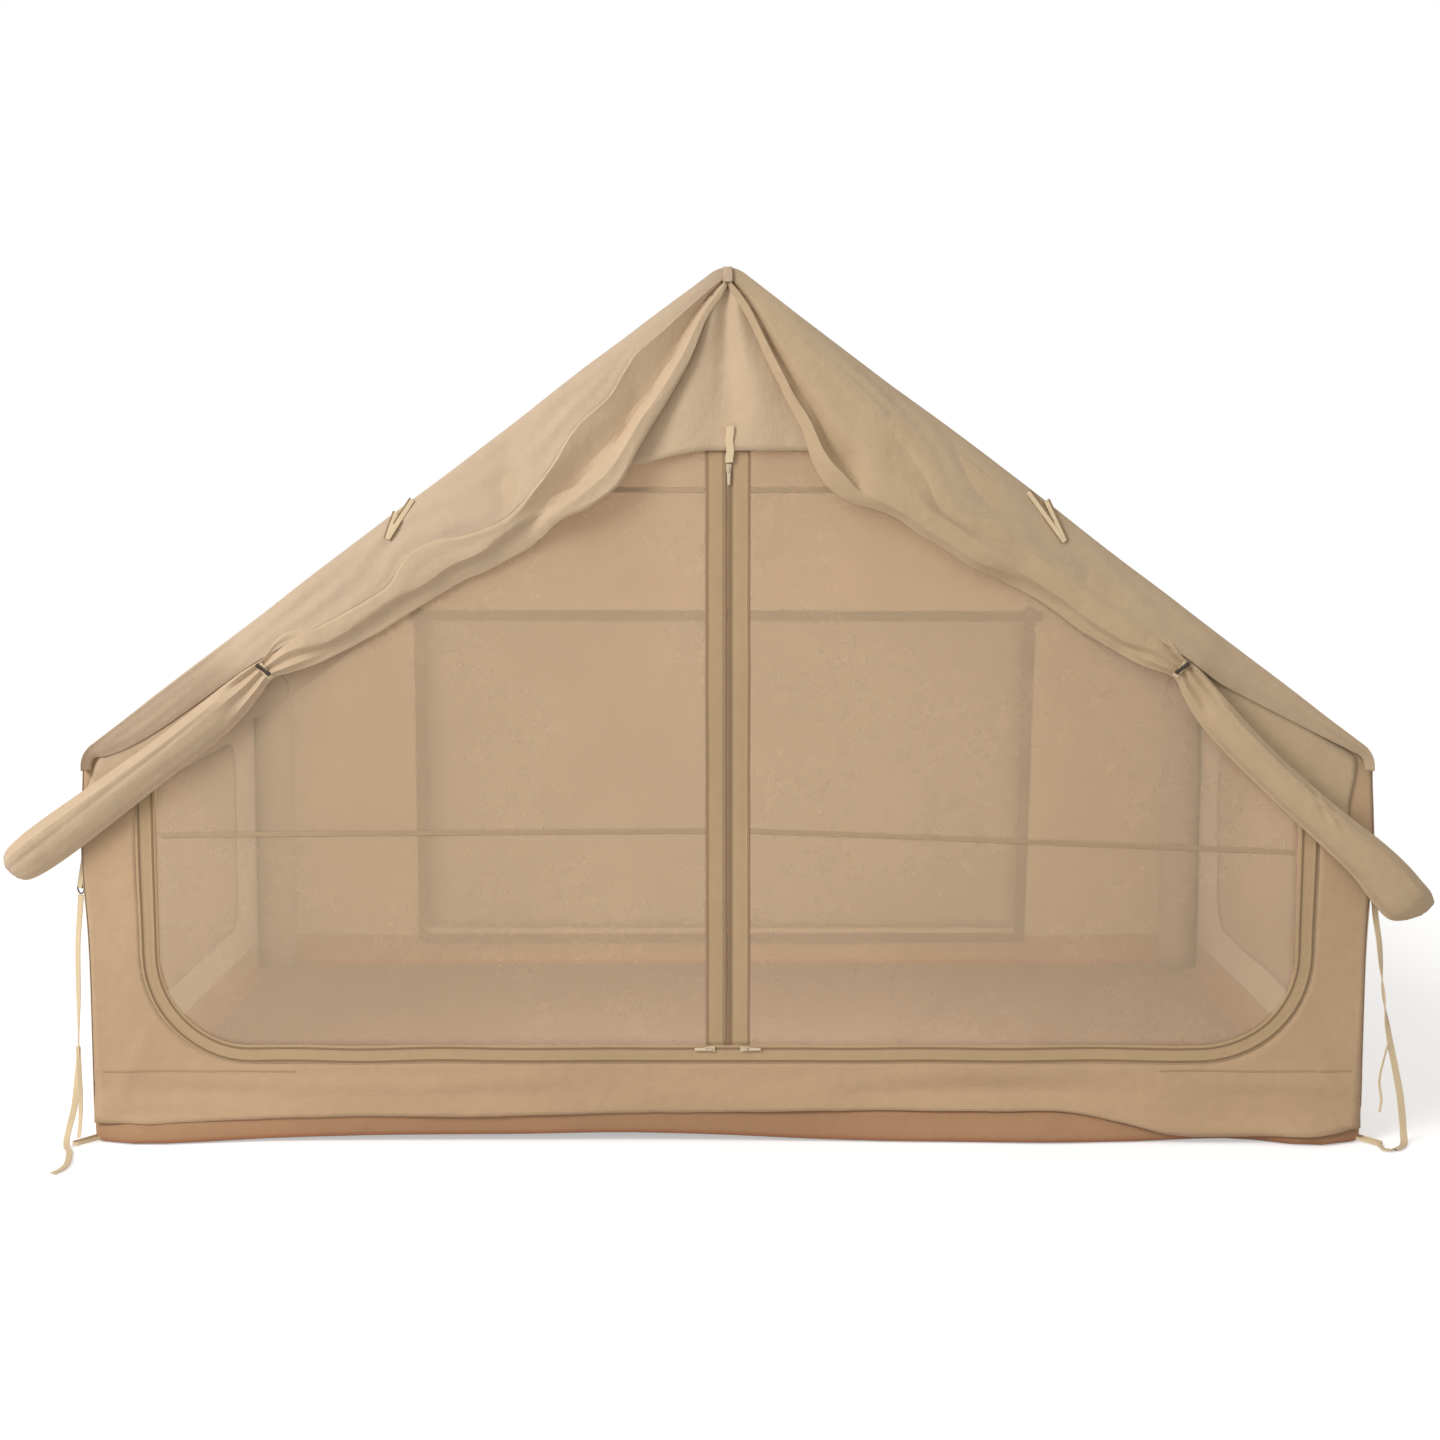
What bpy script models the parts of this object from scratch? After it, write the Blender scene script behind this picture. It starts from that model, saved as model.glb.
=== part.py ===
"""An inflatable ridge tent: mesh door zipped shut, canvas door halves gathered and tied back.

Metres, +Z up, +Y to the rear, +X to the right seen from the front. The origin is on the ground under
the middle of the floor. Two house-shaped air frames stand at the front and the rear, three straight
air beams join them, and canvas, mesh and a groundsheet tub hang round them. Pieces that touch keep GAP.
"""

import math

import bmesh
import bpy
from mathutils import Matrix, Vector

# House: size over the walls, top of the roof, centre height of the eave beams
WIDTH = 3.00
DEPTH = 2.10
RIDGE_TOP = 2.04
EAVE_HEIGHT = 0.90

# Air beams: outer diameter of a filled sleeve, sleeve wall, bladder wall and its slack in the sleeve
BEAM_DIAMETER = 0.12
SLEEVE_WALL = 0.0015
BLADDER_WALL = 0.0010
BLADDER_SLACK = 0.0012
SADDLE_CLEARANCE = 0.0008
COVER_CLEARANCE = 0.0006
KNUCKLE_STEP = 0.006
BEAM_SIDES = 24
BLADDER_SIDES = 12

# Cloth thicknesses and clearances
CANVAS = 0.003
MESH_CLOTH = 0.0012
FLAP_CLOTH = 0.0025
GAP = 0.0003
CUT_OVERRUN = 0.02

# Roof and walls
ROOF_HEM = 0.03
WALL_SEAM_DROP = 0.01
ARC_STEPS = 5
RIDGE_ARC_STEPS = 6

# Groundsheet tub with a webbing peg loop at each corner
TUB_HEIGHT = 0.085
TUB_FOLD = 0.008
PEG_LOOP_LENGTH = 0.060
PEG_LOOP_WIDTH = 0.030
PEG_WEBBING = 0.008
PEG_LOOP_THICK = 0.003
PEG_LOOP_LIFT = 0.010
PEG_LOOP_SEAM = 0.002

# Door opening in the front wall, its zip band, and the gable panel above the mesh
DOOR_HALF_WIDTH = 1.38
DOOR_BOTTOM = 0.19
DOOR_CORNER = 0.26
DOOR_CORNER_STEPS = 7
RAFTER_STRIP = 0.125
HEADER_DROP = 0.43
ZIP_BAND = 0.045
ZIP_BAND_THICK = 0.0018
ZIP_RIB = 0.005
ZIP_RIB_RISE = 0.0008
ZIP_RIB_EDGE = 0.006
HINGE_GAP = 0.0004

# Centre zip bands, on the free edges of the two mesh flaps
CENTRE_ZIP_INNER = 0.006
CENTRE_ZIP_WIDTH = 0.046
CENTRE_ZIP_TOP_CLEARANCE = 0.004

# Zip slider and its pull
SLIDER_WIDTH = 0.012
SLIDER_LENGTH = 0.024
SLIDER_THICK = 0.0035
SLIDER_WAIST_SHARE = 0.62
BRIDGE_WIDTH = 0.003
BRIDGE_RISE = 0.0032
BRIDGE_BAR = 0.0012
BRIDGE_REACH = 0.0072
PULL_LENGTH = 0.036
PULL_WIDTH = 0.0085
PULL_TIP_SHARE = 0.7
PULL_THICK = 0.0016
PULL_BAR = 0.0009
PULL_HOLE_LENGTH = 0.0090
PULL_HOLE_CLEARANCE = 0.0006
CENTRE_SLIDER_SHIFT = 0.0025
CENTRE_SLIDER_DROP = 0.024
SIDE_SLIDER_OFFSET = 0.042

# Windows: side windows in Y and Z, rear window in X and Z, with a mesh inside and a flap outside
SIDE_WINDOW_HALF = 0.66
SIDE_WINDOW_LOW = 0.21
SIDE_WINDOW_DROP = 0.15
REAR_WINDOW_HALF = 0.95
REAR_WINDOW_LOW = 0.13
REAR_WINDOW_HIGH = 1.10
WINDOW_CORNER = 0.10
WINDOW_CORNER_STEPS = 5
MESH_LAP = 0.015
FLAP_LAP = 0.030

# Gathered door halves. Each row: place along the roof edge from the sharp ridge, top edge, lower edge,
# depth in front of the wall, all as shares of the roof slope from ridge to eave
LEFT_CURTAIN_SHARES = (
    (0.031, 0.016, 0.024, 0.006),
    (0.061, 0.014, 0.036, 0.014),
    (0.107, 0.012, 0.067, 0.020),
    (0.161, 0.011, 0.089, 0.024),
    (0.217, 0.010, 0.110, 0.027),
    (0.267, 0.010, 0.133, 0.030),
    (0.311, 0.010, 0.134, 0.031),
    (0.353, 0.010, 0.127, 0.031),
    (0.405, 0.010, 0.128, 0.031),
    (0.472, 0.011, 0.118, 0.030),
    (0.540, 0.012, 0.106, 0.029),
    (0.585, 0.013, 0.101, 0.028),
    (0.652, 0.016, 0.093, 0.026),
    (0.703, 0.024, 0.084, 0.023),
    (0.734, 0.037, 0.073, 0.019),
    (0.748, 0.0415, 0.0675, 0.017),
    (0.760, 0.0415, 0.0675, 0.017),
    (0.778, 0.040, 0.074, 0.021),
    (0.815, 0.040, 0.083, 0.029),
    (0.860, 0.041, 0.088, 0.034),
    (0.920, 0.042, 0.088, 0.037),
    (0.980, 0.040, 0.089, 0.038),
    (1.040, 0.038, 0.090, 0.039),
    (1.095, 0.036, 0.090, 0.039),
    (1.135, 0.037, 0.087, 0.037),
    (1.155, 0.042, 0.081, 0.030),
    (1.163, 0.051, 0.072, 0.018),
)
RIGHT_CURTAIN_SHARES = (
    (0.030, 0.016, 0.024, 0.006),
    (0.060, 0.014, 0.035, 0.014),
    (0.119, 0.012, 0.071, 0.021),
    (0.160, 0.011, 0.090, 0.024),
    (0.193, 0.010, 0.107, 0.027),
    (0.246, 0.010, 0.138, 0.030),
    (0.284, 0.010, 0.142, 0.031),
    (0.320, 0.010, 0.131, 0.031),
    (0.358, 0.010, 0.123, 0.031),
    (0.447, 0.011, 0.116, 0.030),
    (0.540, 0.012, 0.098, 0.029),
    (0.584, 0.013, 0.095, 0.028),
    (0.651, 0.018, 0.091, 0.026),
    (0.698, 0.030, 0.085, 0.022),
    (0.722, 0.042, 0.078, 0.019),
    (0.737, 0.047, 0.073, 0.017),
    (0.749, 0.047, 0.073, 0.017),
    (0.766, 0.048, 0.083, 0.021),
    (0.800, 0.055, 0.097, 0.028),
    (0.850, 0.065, 0.108, 0.033),
    (0.910, 0.074, 0.116, 0.036),
    (0.970, 0.079, 0.123, 0.038),
    (1.030, 0.081, 0.129, 0.039),
    (1.075, 0.081, 0.135, 0.040),
    (1.115, 0.084, 0.146, 0.040),
    (1.145, 0.090, 0.150, 0.038),
    (1.163, 0.094, 0.138, 0.031),
    (1.176, 0.101, 0.121, 0.018),
)
CURTAIN_TIE_ROWS = (15, 16)
CURTAIN_STEPS = 20
CURTAIN_FOLDS = 4
CURTAIN_FOLD_DEPTH = 0.012
CURTAIN_STANDOFF = 0.0025
CURTAIN_ROUNDNESS = 0.55

# Tie webbing round each gathered door half, with a toggle
TIE_WIDTH = 0.014
TIE_THICK = 0.0015
TOGGLE_LENGTH = 0.040
TOGGLE_DIAMETER = 0.010
TOGGLE_SIDES = 12
TOGGLE_WAIST_SHARE = 0.75
TOGGLE_CLEARANCE = 0.0007

# Guy points: slanting webbing tab with a D-ring near each corner
TAB_WIDTH = 0.020
TAB_THICK = 0.002
TAB_DROP = 0.20
TAB_INSET = 0.026
TAB_STANDOFF = 0.0085
TAB_SLANT = 0.015
RING_BAR_DROP = 0.288
RING_HALF_WIDTH = 0.013
RING_WIRE = 0.002
RING_SIDES = 8
RING_STEPS = 10
RING_CLEARANCE = 0.0006
TAB_LOOP_WALL = 0.0016
LOOP_SIDES = 12

# Inflation valve and relief valve, facing the rear on the front posts
VALVE_HEIGHT = 0.36
VALVE_FLANGE_RADIUS = 0.026
VALVE_FLANGE_FACE = 0.064
VALVE_NECK_RADIUS = 0.017
VALVE_NECK_FACE = 0.076
VALVE_BORE_RADIUS = 0.011
VALVE_BORE_FLOOR = 0.066
VALVE_ROOT = 0.040
VALVE_SIDES = 24
CAP_RADIUS = 0.0165
CAP_THICK = 0.0032
CAP_HINGE_RISE = 0.0205
CAP_BARREL_RADIUS = 0.0025
CAP_BARREL_HALF = 0.004
EAR_CLEARANCE = 0.0005
EAR_THICK = 0.002
EAR_HALF_HEIGHT = 0.0027
EAR_FACE = 0.0795
RELIEF_FLANGE_RADIUS = 0.020
RELIEF_DOME_RADIUS = 0.014
RELIEF_FACE = 0.063
RELIEF_DOME_RISE = 0.010
RELIEF_DOME_STEPS = 5

# Guy straps hanging at the front corners, as seen from end to end
STRAP_TUBE = 0.004
STRAP_SPACING = 0.020
LEFT_STRAP_ROUTE = (
    (-1.5191, -1.0346, 0.5922),
    (-1.5230, -1.0350, 0.5500),
    (-1.5290, -1.0370, 0.4800),
    (-1.5300, -1.0400, 0.4200),
    (-1.5300, -1.0430, 0.3600),
    (-1.5310, -1.0460, 0.2900),
    (-1.5330, -1.0490, 0.2200),
    (-1.5370, -1.0540, 0.1500),
    (-1.5430, -1.0600, 0.0900),
    (-1.5530, -1.0700, 0.0450),
    (-1.5560, -1.0870, 0.0180),
    (-1.5500, -1.1120, 0.0060),
    (-1.5350, -1.1450, 0.0045),
    (-1.5240, -1.1900, 0.0045),
    (-1.5150, -1.2350, 0.0045),
    (-1.5130, -1.2700, 0.0045),
    (-1.5180, -1.3000, 0.0045),
    (-1.5270, -1.3200, 0.0045),
)
RIGHT_STRAP_ROUTE = (
    (1.5191, -1.0346, 0.5922),
    (1.5240, -1.0350, 0.5400),
    (1.5340, -1.0360, 0.4800),
    (1.5400, -1.0370, 0.4200),
    (1.5470, -1.0380, 0.3600),
    (1.5550, -1.0390, 0.3000),
    (1.5660, -1.0400, 0.2400),
    (1.5800, -1.0410, 0.1750),
    (1.5920, -1.0430, 0.1150),
    (1.5990, -1.0450, 0.0600),
    (1.6010, -1.0520, 0.0220),
    (1.5980, -1.0700, 0.0070),
    (1.5870, -1.0980, 0.0045),
    (1.5700, -1.1200, 0.0045),
    (1.5500, -1.1320, 0.0045),
    (1.5330, -1.1300, 0.0060),
    (1.5280, -1.1150, 0.0120),
)

# Worked out from the sizes above
COVER = BEAM_DIAMETER / 2 + COVER_CLEARANCE + CANVAS
HALF_WIDTH = WIDTH / 2
HALF_DEPTH = DEPTH / 2
POST_X = HALF_WIDTH - COVER
FRAME_Y = HALF_DEPTH - COVER
RIDGE_HEIGHT = RIDGE_TOP - COVER
SLOPE = math.atan2(RIDGE_HEIGHT - EAVE_HEIGHT, POST_X)
SHARP_RIDGE = RIDGE_HEIGHT + COVER / math.cos(SLOPE)
SLOPE_LENGTH = HALF_WIDTH / math.cos(SLOPE)
WALL_TOP = EAVE_HEIGHT - WALL_SEAM_DROP
HEADER_BOTTOM = RIDGE_TOP - HEADER_DROP
WALL_FOOT = TUB_HEIGHT + GAP
SIDE_WINDOW_HIGH = EAVE_HEIGHT - SIDE_WINDOW_DROP
TAB_TOP = EAVE_HEIGHT - TAB_DROP
RING_BAR_HEIGHT = EAVE_HEIGHT - RING_BAR_DROP
FRONT_FACE = -HALF_DEPTH
MESH_PLANE = FRONT_FACE + CANVAS / 2
UP = Vector((0, 0, 1))
REARWARD = Vector((0, 1, 0))


def clear_scene():
    for old in list(bpy.data.objects):
        bpy.data.objects.remove(old, do_unlink=True)


def make_material(name, colour, roughness, metallic=0.0):
    material = bpy.data.materials.new(name)
    material.use_nodes = True
    shader = material.node_tree.nodes["Principled BSDF"]
    shader.inputs["Base Color"].default_value = (*colour, 1.0)
    shader.inputs["Roughness"].default_value = roughness
    shader.inputs["Metallic"].default_value = metallic
    material.diffuse_color = (*colour, 1.0)
    return material


def make_object(name, bm, material, pivot=(0, 0, 0), smooth_degrees=None):
    """An object from bm, whose points are in the world, with its origin at pivot."""
    bmesh.ops.recalc_face_normals(bm, faces=bm.faces)
    mesh = bpy.data.meshes.new(name)
    bm.to_mesh(mesh)
    bm.free()
    mesh.transform(Matrix.Translation(-Vector(pivot)))
    mesh.materials.append(material)
    if smooth_degrees:
        mesh.shade_smooth()
        mesh.set_sharp_from_angle(angle=math.radians(smooth_degrees))
    made = bpy.data.objects.new(name, mesh)
    made.location = pivot
    bpy.context.scene.collection.objects.link(made)
    return made


def make_copy(name, source, location, turn=(0, 0, 0)):
    """Another object that shares the source's mesh."""
    made = bpy.data.objects.new(name, source.data)
    made.location = location
    made.rotation_euler = turn
    bpy.context.scene.collection.objects.link(made)
    return made


def boolean(target, tool, operation):
    """Cuts or joins the tool into the target and hides the tool."""
    tool.hide_render = True
    tool.display_type = "WIRE"
    modifier = target.modifiers.new(operation.title(), "BOOLEAN")
    modifier.operation = operation
    modifier.object = tool
    modifier.solver = "EXACT"


def add_ring(bm, points):
    return [bm.verts.new(point) for point in points]


def skin(bm, first, second):
    count = len(first)
    for i in range(count):
        j = (i + 1) % count
        bm.faces.new((first[i], first[j], second[j], second[i]))


def loft(rings, wrap=False):
    """A solid through rings of equal counts: capped at both ends, or closed on itself."""
    bm = bmesh.new()
    made = [add_ring(bm, ring) for ring in rings]
    for first, second in zip(made, made[1:]):
        skin(bm, first, second)
    if wrap:
        skin(bm, made[-1], made[0])
    else:
        bm.faces.new(made[0])
        bm.faces.new(made[-1])
    return bm


def place(axis, u, v, w):
    """A point from its outline place (u, v) and its place w along the extrusion axis."""
    return {"X": (w, u, v), "Y": (u, w, v), "Z": (u, v, w)}[axis]


def prism(outline, axis, low, high):
    return loft([[place(axis, u, v, w) for u, v in outline] for w in (low, high)])


def box(x, y, z):
    low, high = zip(x, y, z)
    outline = ((low[0], low[1]), (high[0], low[1]), (high[0], high[1]), (low[0], high[1]))
    return prism(outline, "Z", low[2], high[2])


def arc(centre, radius, start, end, steps):
    """Points on a circle, between two angles in radians."""
    angles = [start + (end - start) * i / steps for i in range(steps + 1)]
    return [(centre[0] + radius * math.cos(a), centre[1] + radius * math.sin(a)) for a in angles]


def rounded_rectangle(low, high, radius, steps):
    quarter = math.pi / 2
    outline = arc((high[0] - radius, high[1] - radius), radius, 0, quarter, steps)
    outline += arc((low[0] + radius, high[1] - radius), radius, quarter, 2 * quarter, steps)
    outline += arc((low[0] + radius, low[1] + radius), radius, 2 * quarter, 3 * quarter, steps)
    outline += arc((high[0] - radius, low[1] + radius), radius, 3 * quarter, 4 * quarter, steps)
    return outline


def turned(profile, centre, steps, axis):
    """A solid of revolution. The profile's rows are (radius, place along the axis), from end to end."""
    rings = []
    for radius, along in profile:
        ring = arc((0, 0), radius, 0, 2 * math.pi * (steps - 1) / steps, steps - 1)
        rings.append([Vector(centre) + Vector(place(axis, u, v, along)) for u, v in ring])
    return loft(rings)


def house_outline(inset, bottom):
    """The gable's outline in X and Z, a given distance inside the outer face of the canvas."""
    radius = COVER - inset
    lean = math.pi / 2 - SLOPE
    outline = [(POST_X + radius, bottom)]
    outline += arc((POST_X, EAVE_HEIGHT), radius, 0, lean, ARC_STEPS)
    outline += arc((0, RIDGE_HEIGHT), radius, lean, math.pi - lean, 2 * RIDGE_ARC_STEPS)
    outline += arc((-POST_X, EAVE_HEIGHT), radius, math.pi - lean, math.pi, ARC_STEPS)
    return outline + [(-POST_X - radius, bottom)]


def strip_line(x):
    """Height of the lower edge of the strip that runs under the front rafters."""
    return SHARP_RIDGE - RAFTER_STRIP - math.tan(SLOPE) * abs(x)


def door_edge(inset):
    """The U of the door opening in X and Z, from the upper left round the sill to the upper right."""
    half = DOOR_HALF_WIDTH - inset
    bottom = DOOR_BOTTOM + inset
    radius = DOOR_CORNER - inset
    edge = [(-half, strip_line(half))]
    edge += arc((radius - half, bottom + radius), radius, math.pi, 1.5 * math.pi, DOOR_CORNER_STEPS)
    edge += arc((half - radius, bottom + radius), radius, 1.5 * math.pi, 2 * math.pi, DOOR_CORNER_STEPS)
    return edge + [(half, strip_line(half))]


def clip(outline, point, normal):
    """The part of a convex outline on the side of a line that the normal points to."""
    kept = []
    for (ax, az), (bx, bz) in zip(outline, outline[1:] + outline[:1]):
        a = (ax - point[0]) * normal[0] + (az - point[1]) * normal[1]
        b = (bx - point[0]) * normal[0] + (bz - point[1]) * normal[1]
        if a >= 0:
            kept.append((ax, az))
        if a * b < 0:
            kept.append((ax + (bx - ax) * a / (a - b), az + (bz - az) * a / (a - b)))
    return kept


def round_ring(point, direction, radius, sides):
    """A tube's square-cut ring."""
    side = direction.cross(REARWARD).normalized()
    angles = [2 * math.pi * i / sides for i in range(sides)]
    return [point + radius * (math.cos(angle) * REARWARD + math.sin(angle) * side) for angle in angles]


def knuckle_rings(point, towards, normal, radius, sides):
    """A tube's last two rings before a joint: mitred on the inside of the bend, rounded on the outside."""
    near = []
    last = []
    for place_on in round_ring(Vector((0, 0, 0)), towards, radius, sides):
        reach = -place_on.dot(normal) / towards.dot(normal)
        near.append(point + place_on + towards * (min(reach, 0) - KNUCKLE_STEP))
        met = place_on + towards * reach
        last.append(point + (met if reach <= 0 else met.normalized() * radius))
    return near, last


def tube_rings(path, radius, sides):
    """The rings of a tube along a bent path, from its square-cut start to its square-cut end."""
    steps = [(b - a).normalized() for a, b in zip(path, path[1:])]
    rings = [round_ring(path[0], steps[0], radius, sides)]
    for point, before, after in zip(path[1:], steps, steps[1:]):
        normal = (before + after).normalized()
        near, last = knuckle_rings(point, before, normal, radius, sides)
        beyond = knuckle_rings(point, -after, -normal, radius, sides)[0]
        rings += [near, last, [beyond[-i] for i in range(sides)]]
    return rings + [round_ring(path[-1], steps[-1], radius, sides)]


def make_sleeve(name, start, end, start_normal, end_normal, material):
    """A straight open sleeve. An end with a normal meets its neighbour on that plane, or is cut square."""
    along = (end - start).normalized()
    outer = BEAM_DIAMETER / 2
    rings = []
    for radius in (outer, outer - SLEEVE_WALL):
        shell = [round_ring(start, along, radius, BEAM_SIDES)]
        if start_normal:
            near, last = knuckle_rings(start, -along, -start_normal, radius, BEAM_SIDES)
            shell = [[ring[-i] for i in range(BEAM_SIDES)] for ring in (last, near)]
        near, last = knuckle_rings(end, along, end_normal, radius, BEAM_SIDES)
        shell += [near, last]
        rings += shell if radius == outer else shell[::-1]
    return make_object(name, loft(rings, wrap=True), material, pivot=start, smooth_degrees=30)


def make_frame_beams(name, y, sleeve_material):
    """The four mitred sleeves of one house-shaped frame."""
    for label, side in (("left", -1), ("right", 1)):
        foot = Vector((side * POST_X, y, CANVAS + GAP))
        eave = Vector((side * POST_X, y, EAVE_HEIGHT))
        ridge = Vector((0, y, RIDGE_HEIGHT))
        rafter = (ridge - eave).normalized()
        mitre = (UP + rafter).normalized()
        half_gap = mitre * GAP / 2
        make_sleeve(f"{name}_{label}_post", foot, eave - half_gap, None, mitre, sleeve_material)
        plumb = Vector((-side, 0, 0))
        make_sleeve(f"{name}_{label}_rafter", eave + half_gap, ridge - plumb * GAP / 2, mitre, plumb,
                    sleeve_material)


def saddle_reach(offset, split, lower, upper, outer):
    """How far a frame of mitred tubes reaches along Y beside a cross beam's point, given in X and Z."""
    member = upper if offset[0] * split[0] + offset[1] * split[1] > 0 else lower
    across = offset[0] * member[1] - offset[1] * member[0]
    return math.sqrt(max(outer**2 - across**2, 0))


def make_cross_beam(name, centre, split, lower, upper, material):
    """A sleeve along Y whose ends are cut to sit on the front and rear frames."""
    outer = BEAM_DIAMETER / 2
    clear = outer + SADDLE_CLEARANCE
    rings = []
    for radius, ends in ((outer, (-1, 1)), (outer - SLEEVE_WALL, (1, -1))):
        for end in ends:
            ring = []
            for u, v in arc((0, 0), radius, 0, 2 * math.pi * (BEAM_SIDES - 1) / BEAM_SIDES, BEAM_SIDES - 1):
                reach = saddle_reach((u, v), split, lower, upper, clear)
                ring.append((centre[0] + u, end * (FRAME_Y - reach), centre[1] + v))
            rings.append(ring)
    return make_object(name, loft(rings, wrap=True), material, pivot=(centre[0], 0, centre[1]),
                       smooth_degrees=30)


def make_bladder(name, y, material):
    """The air bladder of one frame: a hollow tube through its four sleeves, open at the valve foot."""
    outer = BEAM_DIAMETER / 2 - SLEEVE_WALL - BLADDER_SLACK
    foot = CANVAS + 2 * GAP
    bm = bmesh.new()
    shells = []
    for radius, inset in ((outer, 0), (outer - BLADDER_WALL, BLADDER_WALL)):
        path = [
            Vector((-POST_X, y, foot)),
            Vector((-POST_X, y, EAVE_HEIGHT)),
            Vector((0, y, RIDGE_HEIGHT)),
            Vector((POST_X, y, EAVE_HEIGHT)),
            Vector((POST_X, y, foot + inset)),
        ]
        shells.append([add_ring(bm, ring) for ring in tube_rings(path, radius, BLADDER_SIDES)])
    for shell in shells:
        for first, second in zip(shell, shell[1:]):
            skin(bm, first, second)
        bm.faces.new(shell[-1])
    skin(bm, shells[0][0], shells[1][0])
    return make_object(name, bm, material, pivot=(-POST_X, y, foot), smooth_degrees=30)


def make_beams(sleeve_material, bladder_material):
    for name, y in (("front", -FRAME_Y), ("rear", FRAME_Y)):
        make_frame_beams(name, y, sleeve_material)
        make_bladder(f"{name}_air_bladder", y, bladder_material)
    for label, side in (("left", -1), ("right", 1)):
        rafter = (-side * math.cos(SLOPE), math.sin(SLOPE))
        split = (rafter[0], 1 + rafter[1])
        make_cross_beam(f"{label}_eave_beam", (side * POST_X, EAVE_HEIGHT), split, (0, 1), rafter,
                        sleeve_material)
    left_rafter = (math.cos(SLOPE), math.sin(SLOPE))
    right_rafter = (-math.cos(SLOPE), math.sin(SLOPE))
    make_cross_beam("ridge_beam", (0, RIDGE_HEIGHT), (1, 0), left_rafter, right_rafter, sleeve_material)


def make_roof(canvas):
    """Two roof halves sewn together on the ridge, each curving over its eave beam to the wall seam."""
    lean = math.pi / 2 - SLOPE
    for label, side in (("left", -1), ("right", 1)):
        section = []
        for radius, down in ((COVER, True), (COVER - CANVAS, False)):
            seam = math.pi / 2 - GAP / radius
            line = arc((0, RIDGE_HEIGHT), radius, seam, lean, RIDGE_ARC_STEPS)
            line += arc((POST_X, EAVE_HEIGHT), radius, lean, 0, ARC_STEPS)
            line += [(POST_X + radius, WALL_TOP)]
            section += line if down else line[::-1]
        outline = [(side * x, z) for x, z in section]
        hem = HALF_DEPTH + ROOF_HEM
        make_object(f"roof_{label}", prism(outline, "Y", -hem, hem), canvas, smooth_degrees=30)


def window_outlines(half, low, high):
    """The outlines of a window's hole, of its mesh and of its flap."""
    hole = rounded_rectangle((-half, low), (half, high), WINDOW_CORNER, WINDOW_CORNER_STEPS)
    made = [hole]
    for lap in (MESH_LAP, FLAP_LAP):
        made.append(rounded_rectangle((-half - lap, low - lap), (half + lap, high + lap),
                                      WINDOW_CORNER + lap, WINDOW_CORNER_STEPS))
    return made


def make_window(name, wall, axis, outside, outward, sizes, mesh, canvas):
    """Cuts the hole in its wall, and adds the mesh on the inner face and the flap on the outer face."""
    hole, mesh_outline, flap_outline = window_outlines(*sizes)
    cutter = make_object(f"{name}_cutter",
                         prism(hole, axis, outside - CUT_OVERRUN, outside + CUT_OVERRUN), canvas)
    boolean(wall, cutter, "DIFFERENCE")
    inside = outside - outward * (CANVAS + GAP)
    make_object(f"{name}_mesh", prism(mesh_outline, axis, inside - outward * MESH_CLOTH, inside), mesh)
    seat = outside + outward * GAP
    hinge = place(axis, 0, sizes[2] + FLAP_LAP, seat)
    make_object(f"{name}_flap", prism(flap_outline, axis, seat, seat + outward * FLAP_CLOTH), canvas,
                pivot=hinge)


def make_walls(canvas, mesh):
    side_sizes = (SIDE_WINDOW_HALF, SIDE_WINDOW_LOW, SIDE_WINDOW_HIGH)
    for label, side in (("left", -1), ("right", 1)):
        faces = sorted((side * HALF_WIDTH, side * (HALF_WIDTH - CANVAS)))
        wall = make_object(f"{label}_wall", box(faces, (-HALF_DEPTH, HALF_DEPTH), (WALL_FOOT, WALL_TOP - GAP)),
                           canvas)
        make_window(f"{label}_window", wall, "X", side * HALF_WIDTH, side, side_sizes, mesh, canvas)
    gable = house_outline(CANVAS + GAP, WALL_FOOT)
    rear = make_object("rear_wall", prism(gable, "Y", HALF_DEPTH - CANVAS, HALF_DEPTH), canvas)
    rear_sizes = (REAR_WINDOW_HALF, REAR_WINDOW_LOW, REAR_WINDOW_HIGH)
    make_window("rear_window", rear, "Y", HALF_DEPTH, 1, rear_sizes, mesh, canvas)
    front = make_object("front_wall", prism(gable, "Y", FRONT_FACE, FRONT_FACE + CANVAS), canvas)
    opening = door_edge(0) + [(0, strip_line(0))]
    cutter = make_object("door_cutter",
                         prism(opening, "Y", FRONT_FACE - CUT_OVERRUN, FRONT_FACE + CUT_OVERRUN), canvas)
    boolean(front, cutter, "DIFFERENCE")


def make_header(canvas):
    """The fixed gable panel over the mesh, between the rafter strips."""
    drop = GAP / math.cos(SLOPE)
    half = (strip_line(0) - drop - HEADER_BOTTOM) / math.tan(SLOPE)
    outline = ((-half, HEADER_BOTTOM), (half, HEADER_BOTTOM), (0, strip_line(0) - drop))
    make_object("front_header", prism(outline, "Y", FRONT_FACE, FRONT_FACE + CANVAS), canvas)


def rib_profile(width, ribs):
    """A zip band's section: (place across, height over the mesh plane), with its raised ribs."""
    back = ZIP_BAND_THICK / 2
    front = -ZIP_BAND_THICK / 2
    profile = [(0, back), (0, front)]
    for start in ribs:
        crest = front - ZIP_RIB_RISE
        profile += [(start, front), (start + ZIP_RIB / 4, crest)]
        profile += [(start + ZIP_RIB * 3 / 4, crest), (start + ZIP_RIB, front)]
    return profile + [(width, front), (width, back)]


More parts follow.
